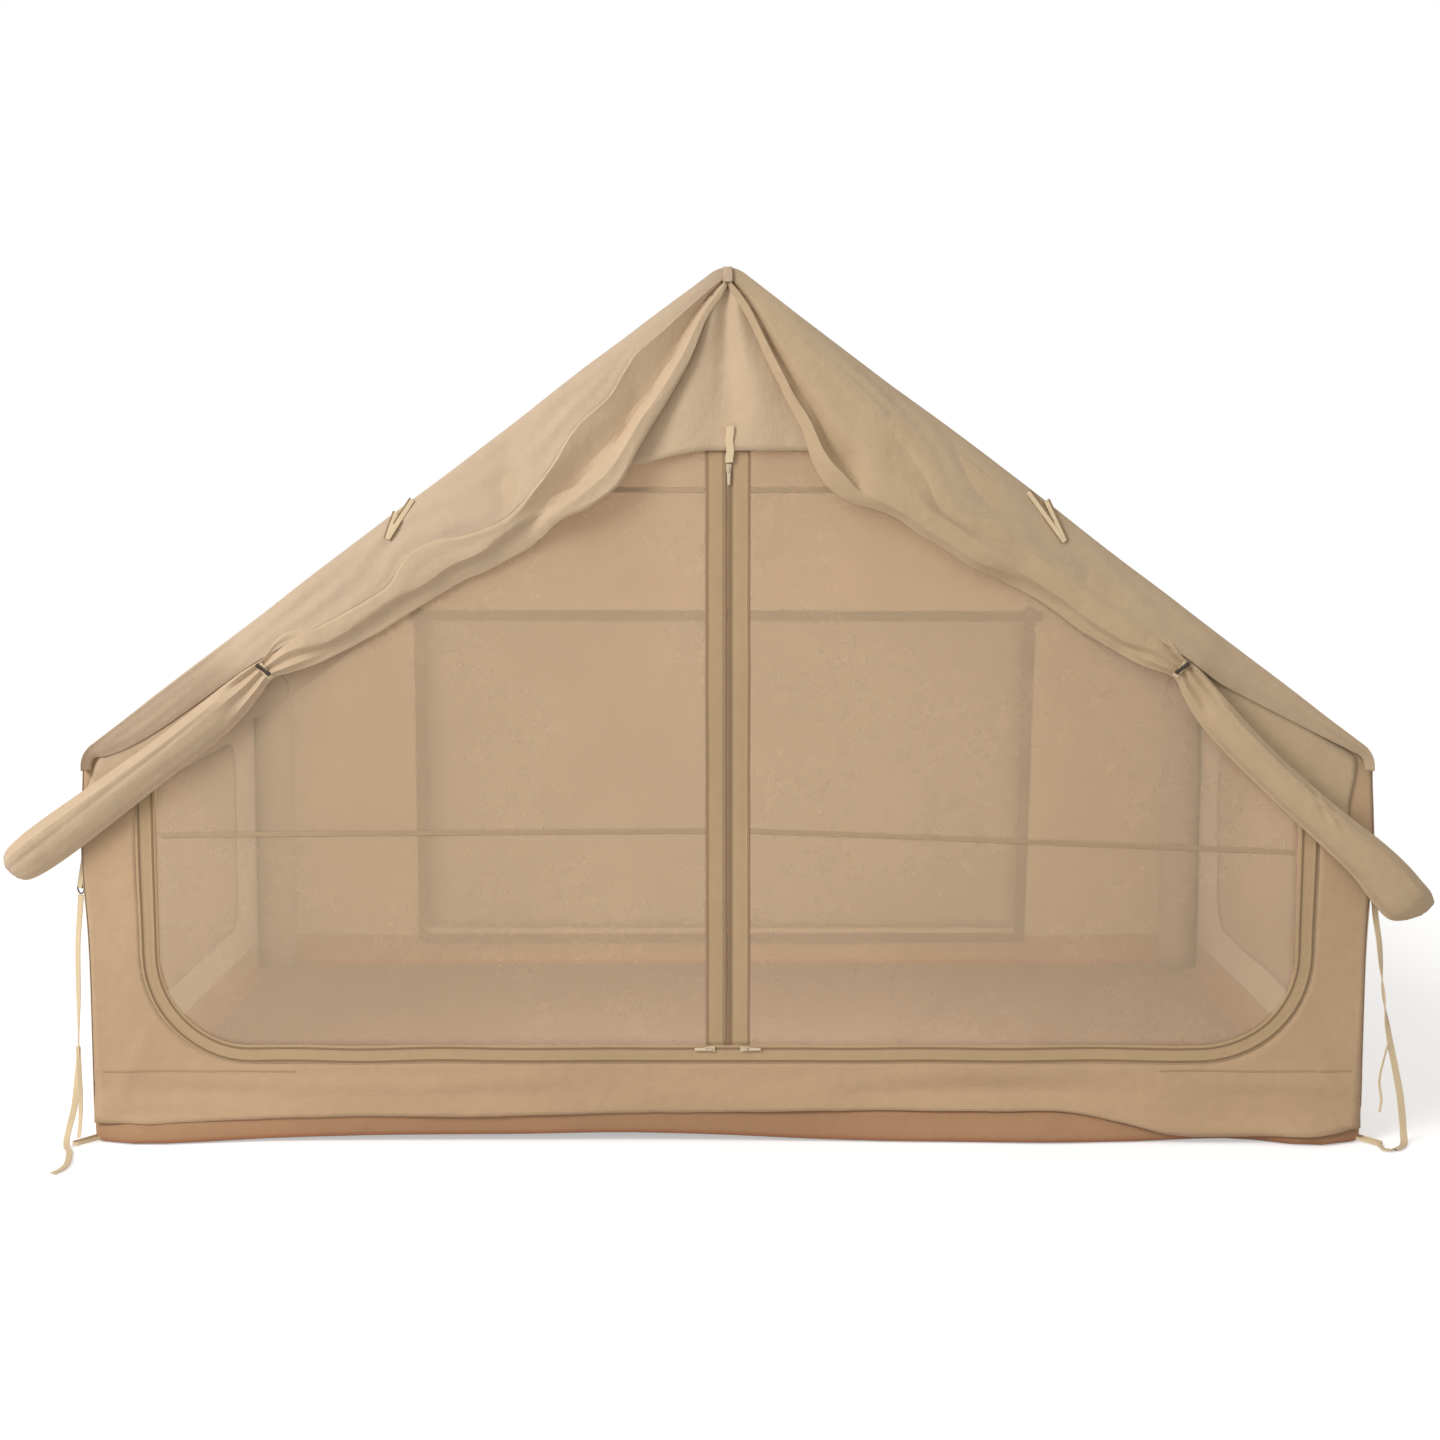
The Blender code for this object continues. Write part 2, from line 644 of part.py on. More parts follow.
def make_zip_band(zip_tape):
    """The band round the sides and the sill of the door, with the canvas zip and the mesh zip on it."""
    ribs = (ZIP_RIB_EDGE, ZIP_BAND - ZIP_RIB_EDGE - ZIP_RIB)
    profile = [(inset + GAP, height) for inset, height in rib_profile(ZIP_BAND - GAP, ribs)]
    edges = [door_edge(inset) for inset, _ in profile]
    rings = []
    for i in range(len(edges[0])):
        rings.append([(edge[i][0], MESH_PLANE + height, edge[i][1]) for edge, (_, height) in zip(edges, profile)])
    make_object("door_zip_band", loft(rings), zip_tape)


def door_diagonal():
    """The left flap's fold line: its upper end, and the unit normal that points into the flap."""
    inset = ZIP_BAND + GAP
    radius = DOOR_CORNER - inset
    half = DOOR_HALF_WIDTH - inset
    corner = arc((radius - half, DOOR_BOTTOM + inset + radius), radius, 1.25 * math.pi, 1.5 * math.pi, 1)[0]
    top = (0, HEADER_BOTTOM)
    run, rise = top[0] - corner[0], top[1] - corner[1]
    length = math.hypot(run, rise)
    return top, (rise / length, -run / length)


def mirrored(outline, side):
    """An outline drawn for the left half, kept or mirrored to the right."""
    return [(-side * x, z) for x, z in outline]


def mesh_plate(region, top, normal, keep, side):
    """A mesh panel whose edge on the fold line is tapered, so that it can turn about that line."""
    rings = []
    for depth in (-1, 0, 1):
        shift = HINGE_GAP / 2 + abs(depth) * MESH_CLOTH / 2
        point = (top[0] + keep * normal[0] * shift, top[1] + keep * normal[1] * shift)
        outline = clip(region, point, (keep * normal[0], keep * normal[1]))
        y = MESH_PLANE + depth * MESH_CLOTH / 2
        rings.append([(x, y, z) for x, z in mirrored(outline, side)])
    return loft(rings)


def make_mesh_door(mesh, zip_tape):
    """On each side a fixed upper mesh, a swinging lower mesh flap and the centre zip band on it."""
    inset = ZIP_BAND + GAP
    top, normal = door_diagonal()
    edge = door_edge(inset)
    left_edge = edge[:DOOR_CORNER_STEPS + 2]
    head = HEADER_BOTTOM - GAP
    shoulder = (strip_line(0) - GAP / math.cos(SLOPE) - head) / math.tan(SLOPE)
    left_edge[0] = (left_edge[0][0], left_edge[0][1] - GAP / math.cos(SLOPE))
    region = [(-GAP / 2, edge[DOOR_CORNER_STEPS + 1][1]), (-GAP / 2, head), (-shoulder, head)] + left_edge
    zip_outer = CENTRE_ZIP_INNER + CENTRE_ZIP_WIDTH
    free = clip(region, (-zip_outer - GAP, 0), (-1, 0))
    profile = rib_profile(CENTRE_ZIP_WIDTH, (0, CENTRE_ZIP_WIDTH - ZIP_RIB_EDGE - ZIP_RIB))
    for label, side in (("left", -1), ("right", 1)):
        pivot = (top[0], MESH_PLANE, top[1])
        make_object(f"{label}_fixed_mesh", mesh_plate(region, top, normal, -1, side), mesh)
        make_object(f"{label}_mesh_flap", mesh_plate(free, top, normal, 1, side), mesh, pivot=pivot)
        rings = []
        for upper in (False, True):
            ring = []
            for across, height in profile:
                x = CENTRE_ZIP_INNER + across
                z = top[1] - x * normal[0] / -normal[1] - CENTRE_ZIP_TOP_CLEARANCE if upper else region[0][1]
                ring.append((side * x, MESH_PLANE + height, z))
            rings.append(ring)
        make_object(f"{label}_centre_zip", loft(rings), zip_tape, pivot=pivot)


def slider_solid(name, metal):
    """A zip slider facing -Y, its length along Z and its origin on its back face."""
    half = SLIDER_WIDTH / 2
    waist = half * SLIDER_WAIST_SHARE
    end = SLIDER_LENGTH / 2
    outline = ((-waist, -end), (waist, -end), (half, 0), (half, end), (-half, end), (-half, 0))
    body = make_object(name, prism(outline, "Y", -SLIDER_THICK, 0), metal)
    inner = SLIDER_THICK + BRIDGE_RISE
    outer = inner + BRIDGE_BAR
    foot = BRIDGE_REACH
    slope = foot - BRIDGE_BAR
    root = SLIDER_THICK / 2
    arch = ((-root, -foot), (-outer, -slope + BRIDGE_BAR / 2), (-outer, slope - BRIDGE_BAR / 2), (-root, foot),
            (-root, slope), (-inner, slope - BRIDGE_BAR), (-inner, -slope + BRIDGE_BAR), (-root, -slope))
    bridge = make_object(f"{name}_bridge", prism(arch, "X", -BRIDGE_WIDTH / 2, BRIDGE_WIDTH / 2), metal)
    boolean(body, bridge, "UNION")
    bridge.parent = body
    return body


def pull_solid(name, metal):
    """A zip pull that hangs from its bar: the bar is on the origin and its tip points down."""
    half = PULL_WIDTH / 2
    tip = half * PULL_TIP_SHARE
    outline = ((-half, PULL_BAR), (-tip, -PULL_LENGTH), (tip, -PULL_LENGTH), (half, PULL_BAR))
    plate = make_object(name, prism(outline, "Y", -PULL_THICK / 2, PULL_THICK / 2), metal)
    eye = BRIDGE_WIDTH / 2 + PULL_HOLE_CLEARANCE
    hole = make_object(f"{name}_hole", box((-eye, eye), (-CUT_OVERRUN, CUT_OVERRUN),
                                           (-PULL_HOLE_LENGTH, -PULL_BAR)), metal)
    boolean(plate, hole, "DIFFERENCE")
    hole.parent = plate
    return plate


def place_slider(name, location, turn, metal):
    """A slider and its pull, both turned about Y so that the zip runs along the slider's length."""
    slider = slider_solid(f"{name}_slider", metal)
    slider.location = location
    slider.rotation_euler = (0, turn, 0)
    pull = pull_solid(f"{name}_pull", metal)
    forward = SLIDER_THICK + BRIDGE_RISE / 2
    pull.location = (location[0], location[1] - forward, location[2])
    pull.rotation_euler = (0, turn, 0)


def make_sliders(metal):
    front = MESH_PLANE - ZIP_BAND_THICK / 2 - ZIP_RIB_RISE - GAP
    place_slider("centre_zip", (CENTRE_SLIDER_SHIFT, front, HEADER_BOTTOM - CENTRE_SLIDER_DROP), 0, metal)
    height = DOOR_BOTTOM + ZIP_BAND - ZIP_RIB_EDGE - ZIP_RIB / 2
    for label, side in (("left", -1), ("right", 1)):
        place_slider(f"{label}_sill_zip", (side * SIDE_SLIDER_OFFSET, front, height), -side * math.pi / 2, metal)


def make_groundsheet(tub):
    """The floor with its upturned edge, folded softly at the foot, and a peg loop at each corner."""
    rings = []
    for inset, height in ((TUB_FOLD, 0), (0, TUB_FOLD), (0, TUB_HEIGHT), (CANVAS, TUB_HEIGHT), (CANVAS, CANVAS)):
        x = HALF_WIDTH - inset
        y = HALF_DEPTH - inset
        rings.append([(-x, -y, height), (x, -y, height), (x, y, height), (-x, y, height)])
    sheet = make_object("groundsheet", loft(rings), tub)
    loop_half = PEG_LOOP_WIDTH / 2
    inner_half = loop_half - PEG_WEBBING
    for i, (side, end) in enumerate(((-1, -1), (1, -1), (1, 1), (-1, 1))):
        outward = Vector((side, end, 0)).normalized()
        across = Vector((-outward.y, outward.x, 0))
        corner = Vector((side * HALF_WIDTH, end * HALF_DEPTH, PEG_LOOP_LIFT))
        outline = []
        for half, length in ((loop_half, PEG_LOOP_LENGTH), (inner_half, PEG_LOOP_LENGTH - PEG_WEBBING)):
            line = [(-half - PEG_LOOP_SEAM, -half)]
            line += arc((length - half, 0), half, -math.pi / 2, math.pi / 2, ARC_STEPS)
            line += [(-half - PEG_LOOP_SEAM, half)]
            outline.append(line)
        loop_line = outline[0] + outline[1][::-1]
        rings = []
        for lift in (0, PEG_LOOP_THICK):
            rings.append([corner + outward * u + across * v + UP * lift for u, v in loop_line])
        loop = make_object(f"peg_loop_{i}", loft(rings), tub)
        boolean(sheet, loop, "UNION")


def curtain_point(side, along, below):
    """A place on the front wall from its distance down the roof edge and its distance under it."""
    x = along * math.cos(SLOPE) - below * math.sin(SLOPE)
    z = SHARP_RIDGE - along * math.sin(SLOPE) - below * math.cos(SLOPE)
    return side * x, z


def curtain_ring(side, row, tied):
    """One section of a gathered door half: flat towards the wall, pleated towards the front."""
    along, top, bottom, depth = (share * SLOPE_LENGTH for share in row)
    back = FRONT_FACE - GAP
    lift = CURTAIN_STANDOFF if tied else 0
    fold = 0 if tied else min(CURTAIN_FOLD_DEPTH, depth / 3)
    ring = []
    for i in range(CURTAIN_STEPS):
        angle = 2 * math.pi * i / CURTAIN_STEPS
        across = (1 - math.cos(angle)) / 2
        below = top + (bottom - top) * across
        swell = abs(math.sin(angle)) ** CURTAIN_ROUNDNESS
        middle = back - lift - depth / 2
        if math.sin(angle) > 0:
            pleat = fold * (1 - math.cos(2 * math.pi * CURTAIN_FOLDS * across)) / 2
            y = middle - swell * (depth / 2 - pleat)
        else:
            y = middle + swell * depth / 2
        x, z = curtain_point(side, along, below)
        ring.append((x, y, z))
    return ring


def make_curtains(canvas, webbing, plastic):
    """The canvas door halves, gathered along the roof edge, tied, and hanging past the eaves."""
    for label, side, shares in (("left", -1, LEFT_CURTAIN_SHARES), ("right", 1, RIGHT_CURTAIN_SHARES)):
        rings = [curtain_ring(side, row, i in CURTAIN_TIE_ROWS) for i, row in enumerate(shares)]
        make_object(f"{label}_door_curtain", loft(rings), canvas, smooth_degrees=60)
        make_tie(label, side, shares[CURTAIN_TIE_ROWS[0]], shares[CURTAIN_TIE_ROWS[1]], webbing, plastic)


def make_tie(label, side, first, last, webbing, plastic):
    """A webbing loop round the narrow part of a curtain, and the toggle that holds it shut."""
    middle = (first[0] + last[0]) / 2 * SLOPE_LENGTH
    top, bottom, depth = (share * SLOPE_LENGTH for share in first[1:])
    centre = (top + bottom) / 2
    centre_y = FRONT_FACE - GAP - CURTAIN_STANDOFF - depth / 2
    rings = []
    for grow, ends in ((GAP + TIE_THICK, (-1, 1)), (GAP, (1, -1))):
        for end in ends:
            ring = []
            for i in range(CURTAIN_STEPS):
                angle = 2 * math.pi * i / CURTAIN_STEPS
                wide = math.cos(angle)
                deep = math.copysign(abs(math.sin(angle)) ** CURTAIN_ROUNDNESS, math.sin(angle))
                below = centre - wide * ((bottom - top) / 2 + grow)
                y = centre_y - deep * (depth / 2 + grow)
                x, z = curtain_point(side, middle + end * TIE_WIDTH / 2, below)
                ring.append((x, y, z))
            rings.append(ring)
    make_object(f"{label}_tie", loft(rings, wrap=True), webbing, smooth_degrees=60)
    radius = TOGGLE_DIAMETER / 2
    waist = radius * TOGGLE_WAIST_SHARE
    end = TOGGLE_LENGTH / 2
    profile = ((waist, -end), (radius, -end * TOGGLE_WAIST_SHARE), (waist, 0), (radius, end * TOGGLE_WAIST_SHARE),
               (waist, end))
    toggle = make_object(f"{label}_toggle", turned(profile, (0, 0, 0), TOGGLE_SIDES, "Z"), plastic,
                         smooth_degrees=40)
    x, z = curtain_point(side, middle, centre)
    toggle.location = (x, centre_y - depth / 2 - GAP - TIE_THICK - TOGGLE_CLEARANCE - waist, z)
    toggle.rotation_euler = (0, side * (math.pi / 2 - SLOPE), 0)


def tab_solid(webbing):
    """A slanting guy tab. It leans along -X as it comes down, and its loop is on the origin."""
    half = TAB_WIDTH / 2
    bore = RING_WIRE + RING_CLEARANCE
    outer = bore + TAB_LOOP_WALL
    rise = TAB_TOP - RING_BAR_HEIGHT
    outline = arc((0, 0), outer, math.pi, 2 * math.pi, LOOP_SIDES // 2)
    outline += [(outer, 0), (TAB_SLANT + TAB_THICK / 2, rise), (TAB_SLANT - TAB_THICK / 2, rise)]
    tab = make_object("front_left_guy_tab", prism(outline, "Y", -half, half), webbing, smooth_degrees=40)
    hole = make_object("tab_hole", turned(((bore, -TAB_WIDTH), (bore, TAB_WIDTH)), (0, 0, 0), LOOP_SIDES, "Y"),
                       webbing)
    boolean(tab, hole, "DIFFERENCE")
    hole.parent = tab
    return tab


def ring_solid(metal):
    """A D-ring that hangs in the YZ plane, with the middle of its bar on the origin."""
    bar = [(-RING_HALF_WIDTH, 0), (0, 0), (RING_HALF_WIDTH, 0)]
    bow = arc((0, -RING_WIRE), RING_HALF_WIDTH + RING_WIRE, 0, -math.pi, RING_STEPS)
    path = bar + bow
    rings = []
    for i, (y, z) in enumerate(path):
        before = Vector(path[i - 1])
        after = Vector(path[(i + 1) % len(path)])
        along = (after - before).normalized()
        across = Vector((-along.y, along.x))
        ring = []
        for k in range(RING_SIDES):
            angle = 2 * math.pi * k / RING_SIDES
            offset = RING_WIRE * math.cos(angle)
            ring.append((RING_WIRE * math.sin(angle), y + across.x * offset, z + across.y * offset))
        rings.append(ring)
    return make_object("front_left_ring", loft(rings, wrap=True), metal, smooth_degrees=40)


def make_guy_points(webbing, metal):
    """A tab and a D-ring beside each corner, turned halfway between the two walls."""
    tab = tab_solid(webbing)
    ring = ring_solid(metal)
    for name, side, end in (("front_left", -1, -1), ("front_right", 1, -1), ("rear_left", -1, 1),
                            ("rear_right", 1, 1)):
        turn = math.atan2(end, side) - math.pi
        lean = Vector((side, end, 0)).normalized() * TAB_SLANT
        base = Vector((side * (HALF_WIDTH + TAB_STANDOFF), end * (HALF_DEPTH - TAB_INSET), RING_BAR_HEIGHT))
        spot = base + lean
        if name == "front_left":
            for piece in (tab, ring):
                piece.location = spot
                piece.rotation_euler = (0, 0, turn)
        else:
            copy = make_copy(f"{name}_guy_tab", tab, spot, (0, 0, turn))
            hole = make_copy(f"{name}_tab_hole", tab.children[0], (0, 0, 0))
            hole.parent = copy
            boolean(copy, hole, "DIFFERENCE")
            make_copy(f"{name}_ring", ring, spot, (0, 0, turn))


def post_cutter(name, x, material):
    """A solid a little larger than a front post, that gives a valve its saddle."""
    radius = (BEAM_DIAMETER / 2 + GAP) / math.cos(math.pi / BEAM_SIDES)
    low = VALVE_HEIGHT - 2 * VALVE_FLANGE_RADIUS
    high = VALVE_HEIGHT + 2 * VALVE_FLANGE_RADIUS
    return make_object(name, turned(((radius, low), (radius, high)), (x, -FRAME_Y, 0), BEAM_SIDES, "Z"), material)


def make_valves(plastic):
    """The inflation valve with its hinged cap on the left front post, and a relief valve on the right."""
    centre = Vector((-POST_X, -FRAME_Y, VALVE_HEIGHT))
    profile = ((VALVE_FLANGE_RADIUS, VALVE_ROOT), (VALVE_FLANGE_RADIUS, VALVE_FLANGE_FACE),
               (VALVE_NECK_RADIUS, VALVE_FLANGE_FACE), (VALVE_NECK_RADIUS, VALVE_NECK_FACE),
               (VALVE_BORE_RADIUS, VALVE_NECK_FACE), (VALVE_BORE_RADIUS, VALVE_BORE_FLOOR))
    body = make_object("inflation_valve", turned(profile, centre, VALVE_SIDES, "Y"), plastic, smooth_degrees=30)
    hinge = centre + Vector((0, VALVE_NECK_FACE + GAP + CAP_THICK / 2, CAP_HINGE_RISE))
    ear_inner = CAP_BARREL_HALF + EAR_CLEARANCE
    for i, side in enumerate((-1, 1)):
        x = sorted((hinge.x + side * ear_inner, hinge.x + side * (ear_inner + EAR_THICK)))
        ear = make_object(f"valve_ear_{i}", box(x, (centre.y + VALVE_BORE_FLOOR - CANVAS, centre.y + EAR_FACE),
                                                (hinge.z - EAR_HALF_HEIGHT, hinge.z + EAR_HALF_HEIGHT)), plastic)
        boolean(body, ear, "UNION")
    boolean(body, post_cutter("left_post_cutter", -POST_X, plastic), "DIFFERENCE")
    low = VALVE_NECK_FACE + GAP
    cap = make_object("valve_cap", turned(((CAP_RADIUS, low), (CAP_RADIUS, low + CAP_THICK)), centre,
                                          VALVE_SIDES, "Y"), plastic, pivot=hinge, smooth_degrees=30)
    barrel = make_object("cap_barrel", turned(((CAP_BARREL_RADIUS, -CAP_BARREL_HALF),
                                               (CAP_BARREL_RADIUS, CAP_BARREL_HALF)), hinge, LOOP_SIDES, "X"), plastic)
    half_tongue = CAP_BARREL_HALF * TOGGLE_WAIST_SHARE
    tongue = make_object("cap_tongue", box((hinge.x - half_tongue, hinge.x + half_tongue),
                                           (hinge.y - CAP_THICK / 4, hinge.y + CAP_THICK / 4),
                                           (centre.z + CAP_RADIUS / 2, hinge.z)), plastic)
    boolean(cap, barrel, "UNION")
    boolean(cap, tongue, "UNION")
    relief_centre = Vector((POST_X, -FRAME_Y, VALVE_HEIGHT))
    profile = [(RELIEF_FLANGE_RADIUS, VALVE_ROOT), (RELIEF_FLANGE_RADIUS, RELIEF_FACE)]
    for i in range(RELIEF_DOME_STEPS):
        angle = math.pi / 2 * i / RELIEF_DOME_STEPS
        profile.append((RELIEF_DOME_RADIUS * math.cos(angle), RELIEF_FACE + RELIEF_DOME_RISE * math.sin(angle)))
    relief = make_object("relief_valve", turned(profile, relief_centre, VALVE_SIDES, "Y"), plastic,
                         smooth_degrees=40)
    boolean(relief, post_cutter("right_post_cutter", POST_X, plastic), "DIFFERENCE")


def smooth_route(points, spacing):
    """Points about one spacing apart on a smooth curve through the route's own points."""
    route = [Vector(point) for point in points]
    padded = [2 * route[0] - route[1]] + route + [2 * route[-1] - route[-2]]
    fine = []
    for a, b, c, d in zip(padded, padded[1:], padded[2:], padded[3:]):
        pieces = max(1, round((c - b).length / spacing))
        for i in range(pieces):
            t = i / pieces
            fine.append(0.5 * (2 * b + (c - a) * t + (2 * a - 5 * b + 4 * c - d) * t * t
                               + (3 * b - a - 3 * c + d) * t**3))
    return fine + [route[-1]]


def make_strap(name, route, webbing):
    """A hanging guy strap as a plain tube along its route."""
    curve = bpy.data.curves.new(name, "CURVE")
    curve.dimensions = "3D"
    curve.bevel_depth = STRAP_TUBE
    curve.bevel_resolution = 2
    curve.use_fill_caps = True
    points = smooth_route(route, STRAP_SPACING)
    spline = curve.splines.new("POLY")
    spline.points.add(len(points) - 1)
    for target, point in zip(spline.points, points):
        target.co = (*point, 1)
    curve.materials.append(webbing)
    made = bpy.data.objects.new(name, curve)
    bpy.context.scene.collection.objects.link(made)


def build():
    clear_scene()
    canvas = make_material("canvas", (0.52, 0.37, 0.22), 0.85)
    mesh = make_material("mosquito_mesh", (0.42, 0.29, 0.17), 0.8)
    tub = make_material("groundsheet_pvc", (0.44, 0.27, 0.15), 0.6)
    sleeve = make_material("beam_sleeve", (0.38, 0.25, 0.16), 0.8)
    bladder = make_material("bladder_film", (0.75, 0.75, 0.72), 0.4)
    zip_tape = make_material("zip_tape", (0.42, 0.28, 0.15), 0.7)
    webbing = make_material("webbing", (0.68, 0.52, 0.34), 0.8)
    metal = make_material("ring_metal", (0.35, 0.35, 0.33), 0.35, 1.0)
    plastic = make_material("valve_plastic", (0.05, 0.05, 0.05), 0.5)
    make_beams(sleeve, bladder)
    make_roof(canvas)
    make_walls(canvas, mesh)
    make_header(canvas)
    make_zip_band(zip_tape)
    make_mesh_door(mesh, zip_tape)
    make_sliders(metal)
    make_groundsheet(tub)
    make_curtains(canvas, webbing, plastic)
    make_guy_points(webbing, metal)
    make_valves(plastic)
    make_strap("left_guy_strap", LEFT_STRAP_ROUTE, webbing)
    make_strap("right_guy_strap", RIGHT_STRAP_ROUTE, webbing)


build()
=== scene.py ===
"""The looks of an inflatable ridge tent: cloth, mesh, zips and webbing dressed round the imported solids."""

import math

import bpy
from mathutils import Matrix, Vector, noise


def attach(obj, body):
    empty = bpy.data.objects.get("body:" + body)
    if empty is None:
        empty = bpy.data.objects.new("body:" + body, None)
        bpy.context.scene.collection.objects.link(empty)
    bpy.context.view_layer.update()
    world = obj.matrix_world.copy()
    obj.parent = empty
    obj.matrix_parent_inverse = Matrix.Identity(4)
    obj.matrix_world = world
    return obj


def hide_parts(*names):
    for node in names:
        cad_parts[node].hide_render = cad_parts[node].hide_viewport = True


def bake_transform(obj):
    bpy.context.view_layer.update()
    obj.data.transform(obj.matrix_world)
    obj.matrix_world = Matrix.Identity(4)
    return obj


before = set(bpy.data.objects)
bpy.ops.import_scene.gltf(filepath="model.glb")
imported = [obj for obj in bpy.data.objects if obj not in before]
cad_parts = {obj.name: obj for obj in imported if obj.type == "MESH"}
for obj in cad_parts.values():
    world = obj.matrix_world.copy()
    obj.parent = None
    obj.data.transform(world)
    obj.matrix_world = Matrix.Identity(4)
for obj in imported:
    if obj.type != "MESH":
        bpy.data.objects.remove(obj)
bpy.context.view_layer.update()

# The solids' own sizes
HALF_WIDTH = 1.5
HALF_DEPTH = 1.05
EAVE = 0.90
RIDGE_TOP = 2.04
COVER = 0.0636
POST_X = HALF_WIDTH - COVER
FRAME_Y = HALF_DEPTH - COVER
RIDGE = RIDGE_TOP - COVER
SLOPE = math.atan2(RIDGE - EAVE, POST_X)
SHARP_RIDGE = RIDGE + COVER / math.cos(SLOPE)
SLOPE_LENGTH = HALF_WIDTH / math.cos(SLOPE)
ROOF_HEM = 0.03
WALL_TOP = 0.89
TUB = 0.085
DOOR_HALF = 1.38
DOOR_BOTTOM = 0.19
DOOR_CORNER = 0.26
STRIP = 0.125
HEADER_BOTTOM = 1.61
BAND = 0.045
FRONT = -HALF_DEPTH
BEAM = 0.06
SIDES = ((-1, "left"), (1, "right"))
# Cloth thicknesses, and how far the gathered doors' back stands off the front
WALL_CLOTH = 0.0016
HEAVY_CLOTH = 0.0014
SLACK_CLOTH = 0.0012
THIN_CLOTH = 0.0008
DOOR_NET = 0.0006
BAND_TAPE = 0.0010
CENTRE_TAPE = 0.0009
CURTAIN_BACK = 0.004

# Gathered door halves: place along the roof edge, upper edge, lower edge and depth, as shares of the slope
LEFT_CURTAIN_SHARES = (
    (0.016, 0.013, 0.022, 0.015), (0.031, 0.012, 0.029, 0.0165), (0.061, 0.011, 0.04, 0.0185),
    (0.107, 0.011, 0.067, 0.0215), (0.161, 0.011, 0.089, 0.024), (0.217, 0.01, 0.11, 0.027),
    (0.267, 0.01, 0.133, 0.03), (0.311, 0.01, 0.134, 0.031), (0.353, 0.01, 0.127, 0.031),
    (0.405, 0.01, 0.128, 0.031), (0.472, 0.011, 0.118, 0.03), (0.54, 0.012, 0.106, 0.029),
    (0.585, 0.013, 0.101, 0.028), (0.652, 0.016, 0.093, 0.026), (0.703, 0.024, 0.084, 0.023),
    (0.734, 0.037, 0.073, 0.019), (0.748, 0.0415, 0.0675, 0.017), (0.76, 0.0415, 0.0675, 0.017),
    (0.778, 0.04, 0.074, 0.021), (0.815, 0.04, 0.083, 0.029), (0.86, 0.041, 0.088, 0.034),
    (0.92, 0.042, 0.088, 0.037), (0.98, 0.04, 0.089, 0.038), (1.04, 0.038, 0.09, 0.039),
    (1.095, 0.036, 0.09, 0.039), (1.135, 0.037, 0.087, 0.037), (1.155, 0.042, 0.081, 0.03),
    (1.163, 0.051, 0.072, 0.018),
)
RIGHT_CURTAIN_SHARES = (
    (0.016, 0.013, 0.022, 0.015), (0.03, 0.012, 0.029, 0.0165), (0.06, 0.011, 0.04, 0.0185),
    (0.119, 0.011, 0.071, 0.022), (0.16, 0.011, 0.09, 0.024), (0.193, 0.01, 0.107, 0.027),
    (0.246, 0.01, 0.138, 0.03), (0.284, 0.01, 0.142, 0.031), (0.32, 0.01, 0.131, 0.031),
    (0.358, 0.01, 0.123, 0.031), (0.447, 0.011, 0.116, 0.03), (0.54, 0.012, 0.098, 0.029),
    (0.584, 0.013, 0.095, 0.028), (0.651, 0.018, 0.091, 0.026), (0.698, 0.03, 0.085, 0.022),
    (0.722, 0.042, 0.078, 0.019), (0.737, 0.047, 0.073, 0.017), (0.749, 0.047, 0.073, 0.017),
    (0.766, 0.048, 0.083, 0.021), (0.8, 0.055, 0.097, 0.028), (0.85, 0.065, 0.108, 0.033),
    (0.91, 0.074, 0.116, 0.036), (0.97, 0.079, 0.123, 0.038), (1.03, 0.081, 0.129, 0.039),
    (1.075, 0.081, 0.135, 0.04), (1.115, 0.084, 0.146, 0.04), (1.145, 0.09, 0.15, 0.038),
    (1.163, 0.094, 0.138, 0.031), (1.176, 0.101, 0.121, 0.018),
)
# Where the roof's front hem ends, and the folds of the gathered canvas, down from the roof edge
LEFT_HEM_SHARES = (
    (0.0, 0.014), (0.03, 0.014), (0.07, 0.016), (0.12, 0.02), (0.157, 0.022), (0.176, 0.029),
    (0.213, 0.043), (0.265, 0.048), (0.327, 0.071), (0.375, 0.083), (0.409, 0.085), (0.449, 0.074),
    (0.491, 0.056), (0.529, 0.05), (0.562, 0.063), (0.585, 0.064), (0.656, 0.055), (0.71, 0.047),
    (0.75, 0.042), (0.8, 0.039), (0.85, 0.038), (0.9, 0.036), (0.95, 0.03), (0.985, 0.02), (1.0, 0.012),
    (1.1, 0.008),
)
RIGHT_HEM_SHARES = (
    (0.0, 0.014), (0.03, 0.014), (0.07, 0.016), (0.12, 0.021), (0.2, 0.03), (0.3, 0.045), (0.353, 0.063),
    (0.381, 0.077), (0.407, 0.081), (0.459, 0.072), (0.5, 0.06), (0.6, 0.055), (0.7, 0.05), (0.738, 0.047),
    (0.79, 0.047), (0.834, 0.0405), (0.9, 0.029), (0.956, 0.019), (0.995, 0.012), (1.03, 0.01),
    (1.1, 0.008),
)
LEFT_FOLD_SHARES = (
    (0.016, 0.0155), (0.031, 0.018), (0.071, 0.029), (0.116, 0.049), (0.159, 0.066), (0.198, 0.076),
    (0.224, 0.085), (0.25, 0.093), (0.29, 0.1), (0.35, 0.106), (0.421, 0.107), (0.448, 0.107),
    (0.491, 0.099), (0.532, 0.095), (0.571, 0.087), (0.65, 0.081), (0.7, 0.072), (0.75, 0.06),
)
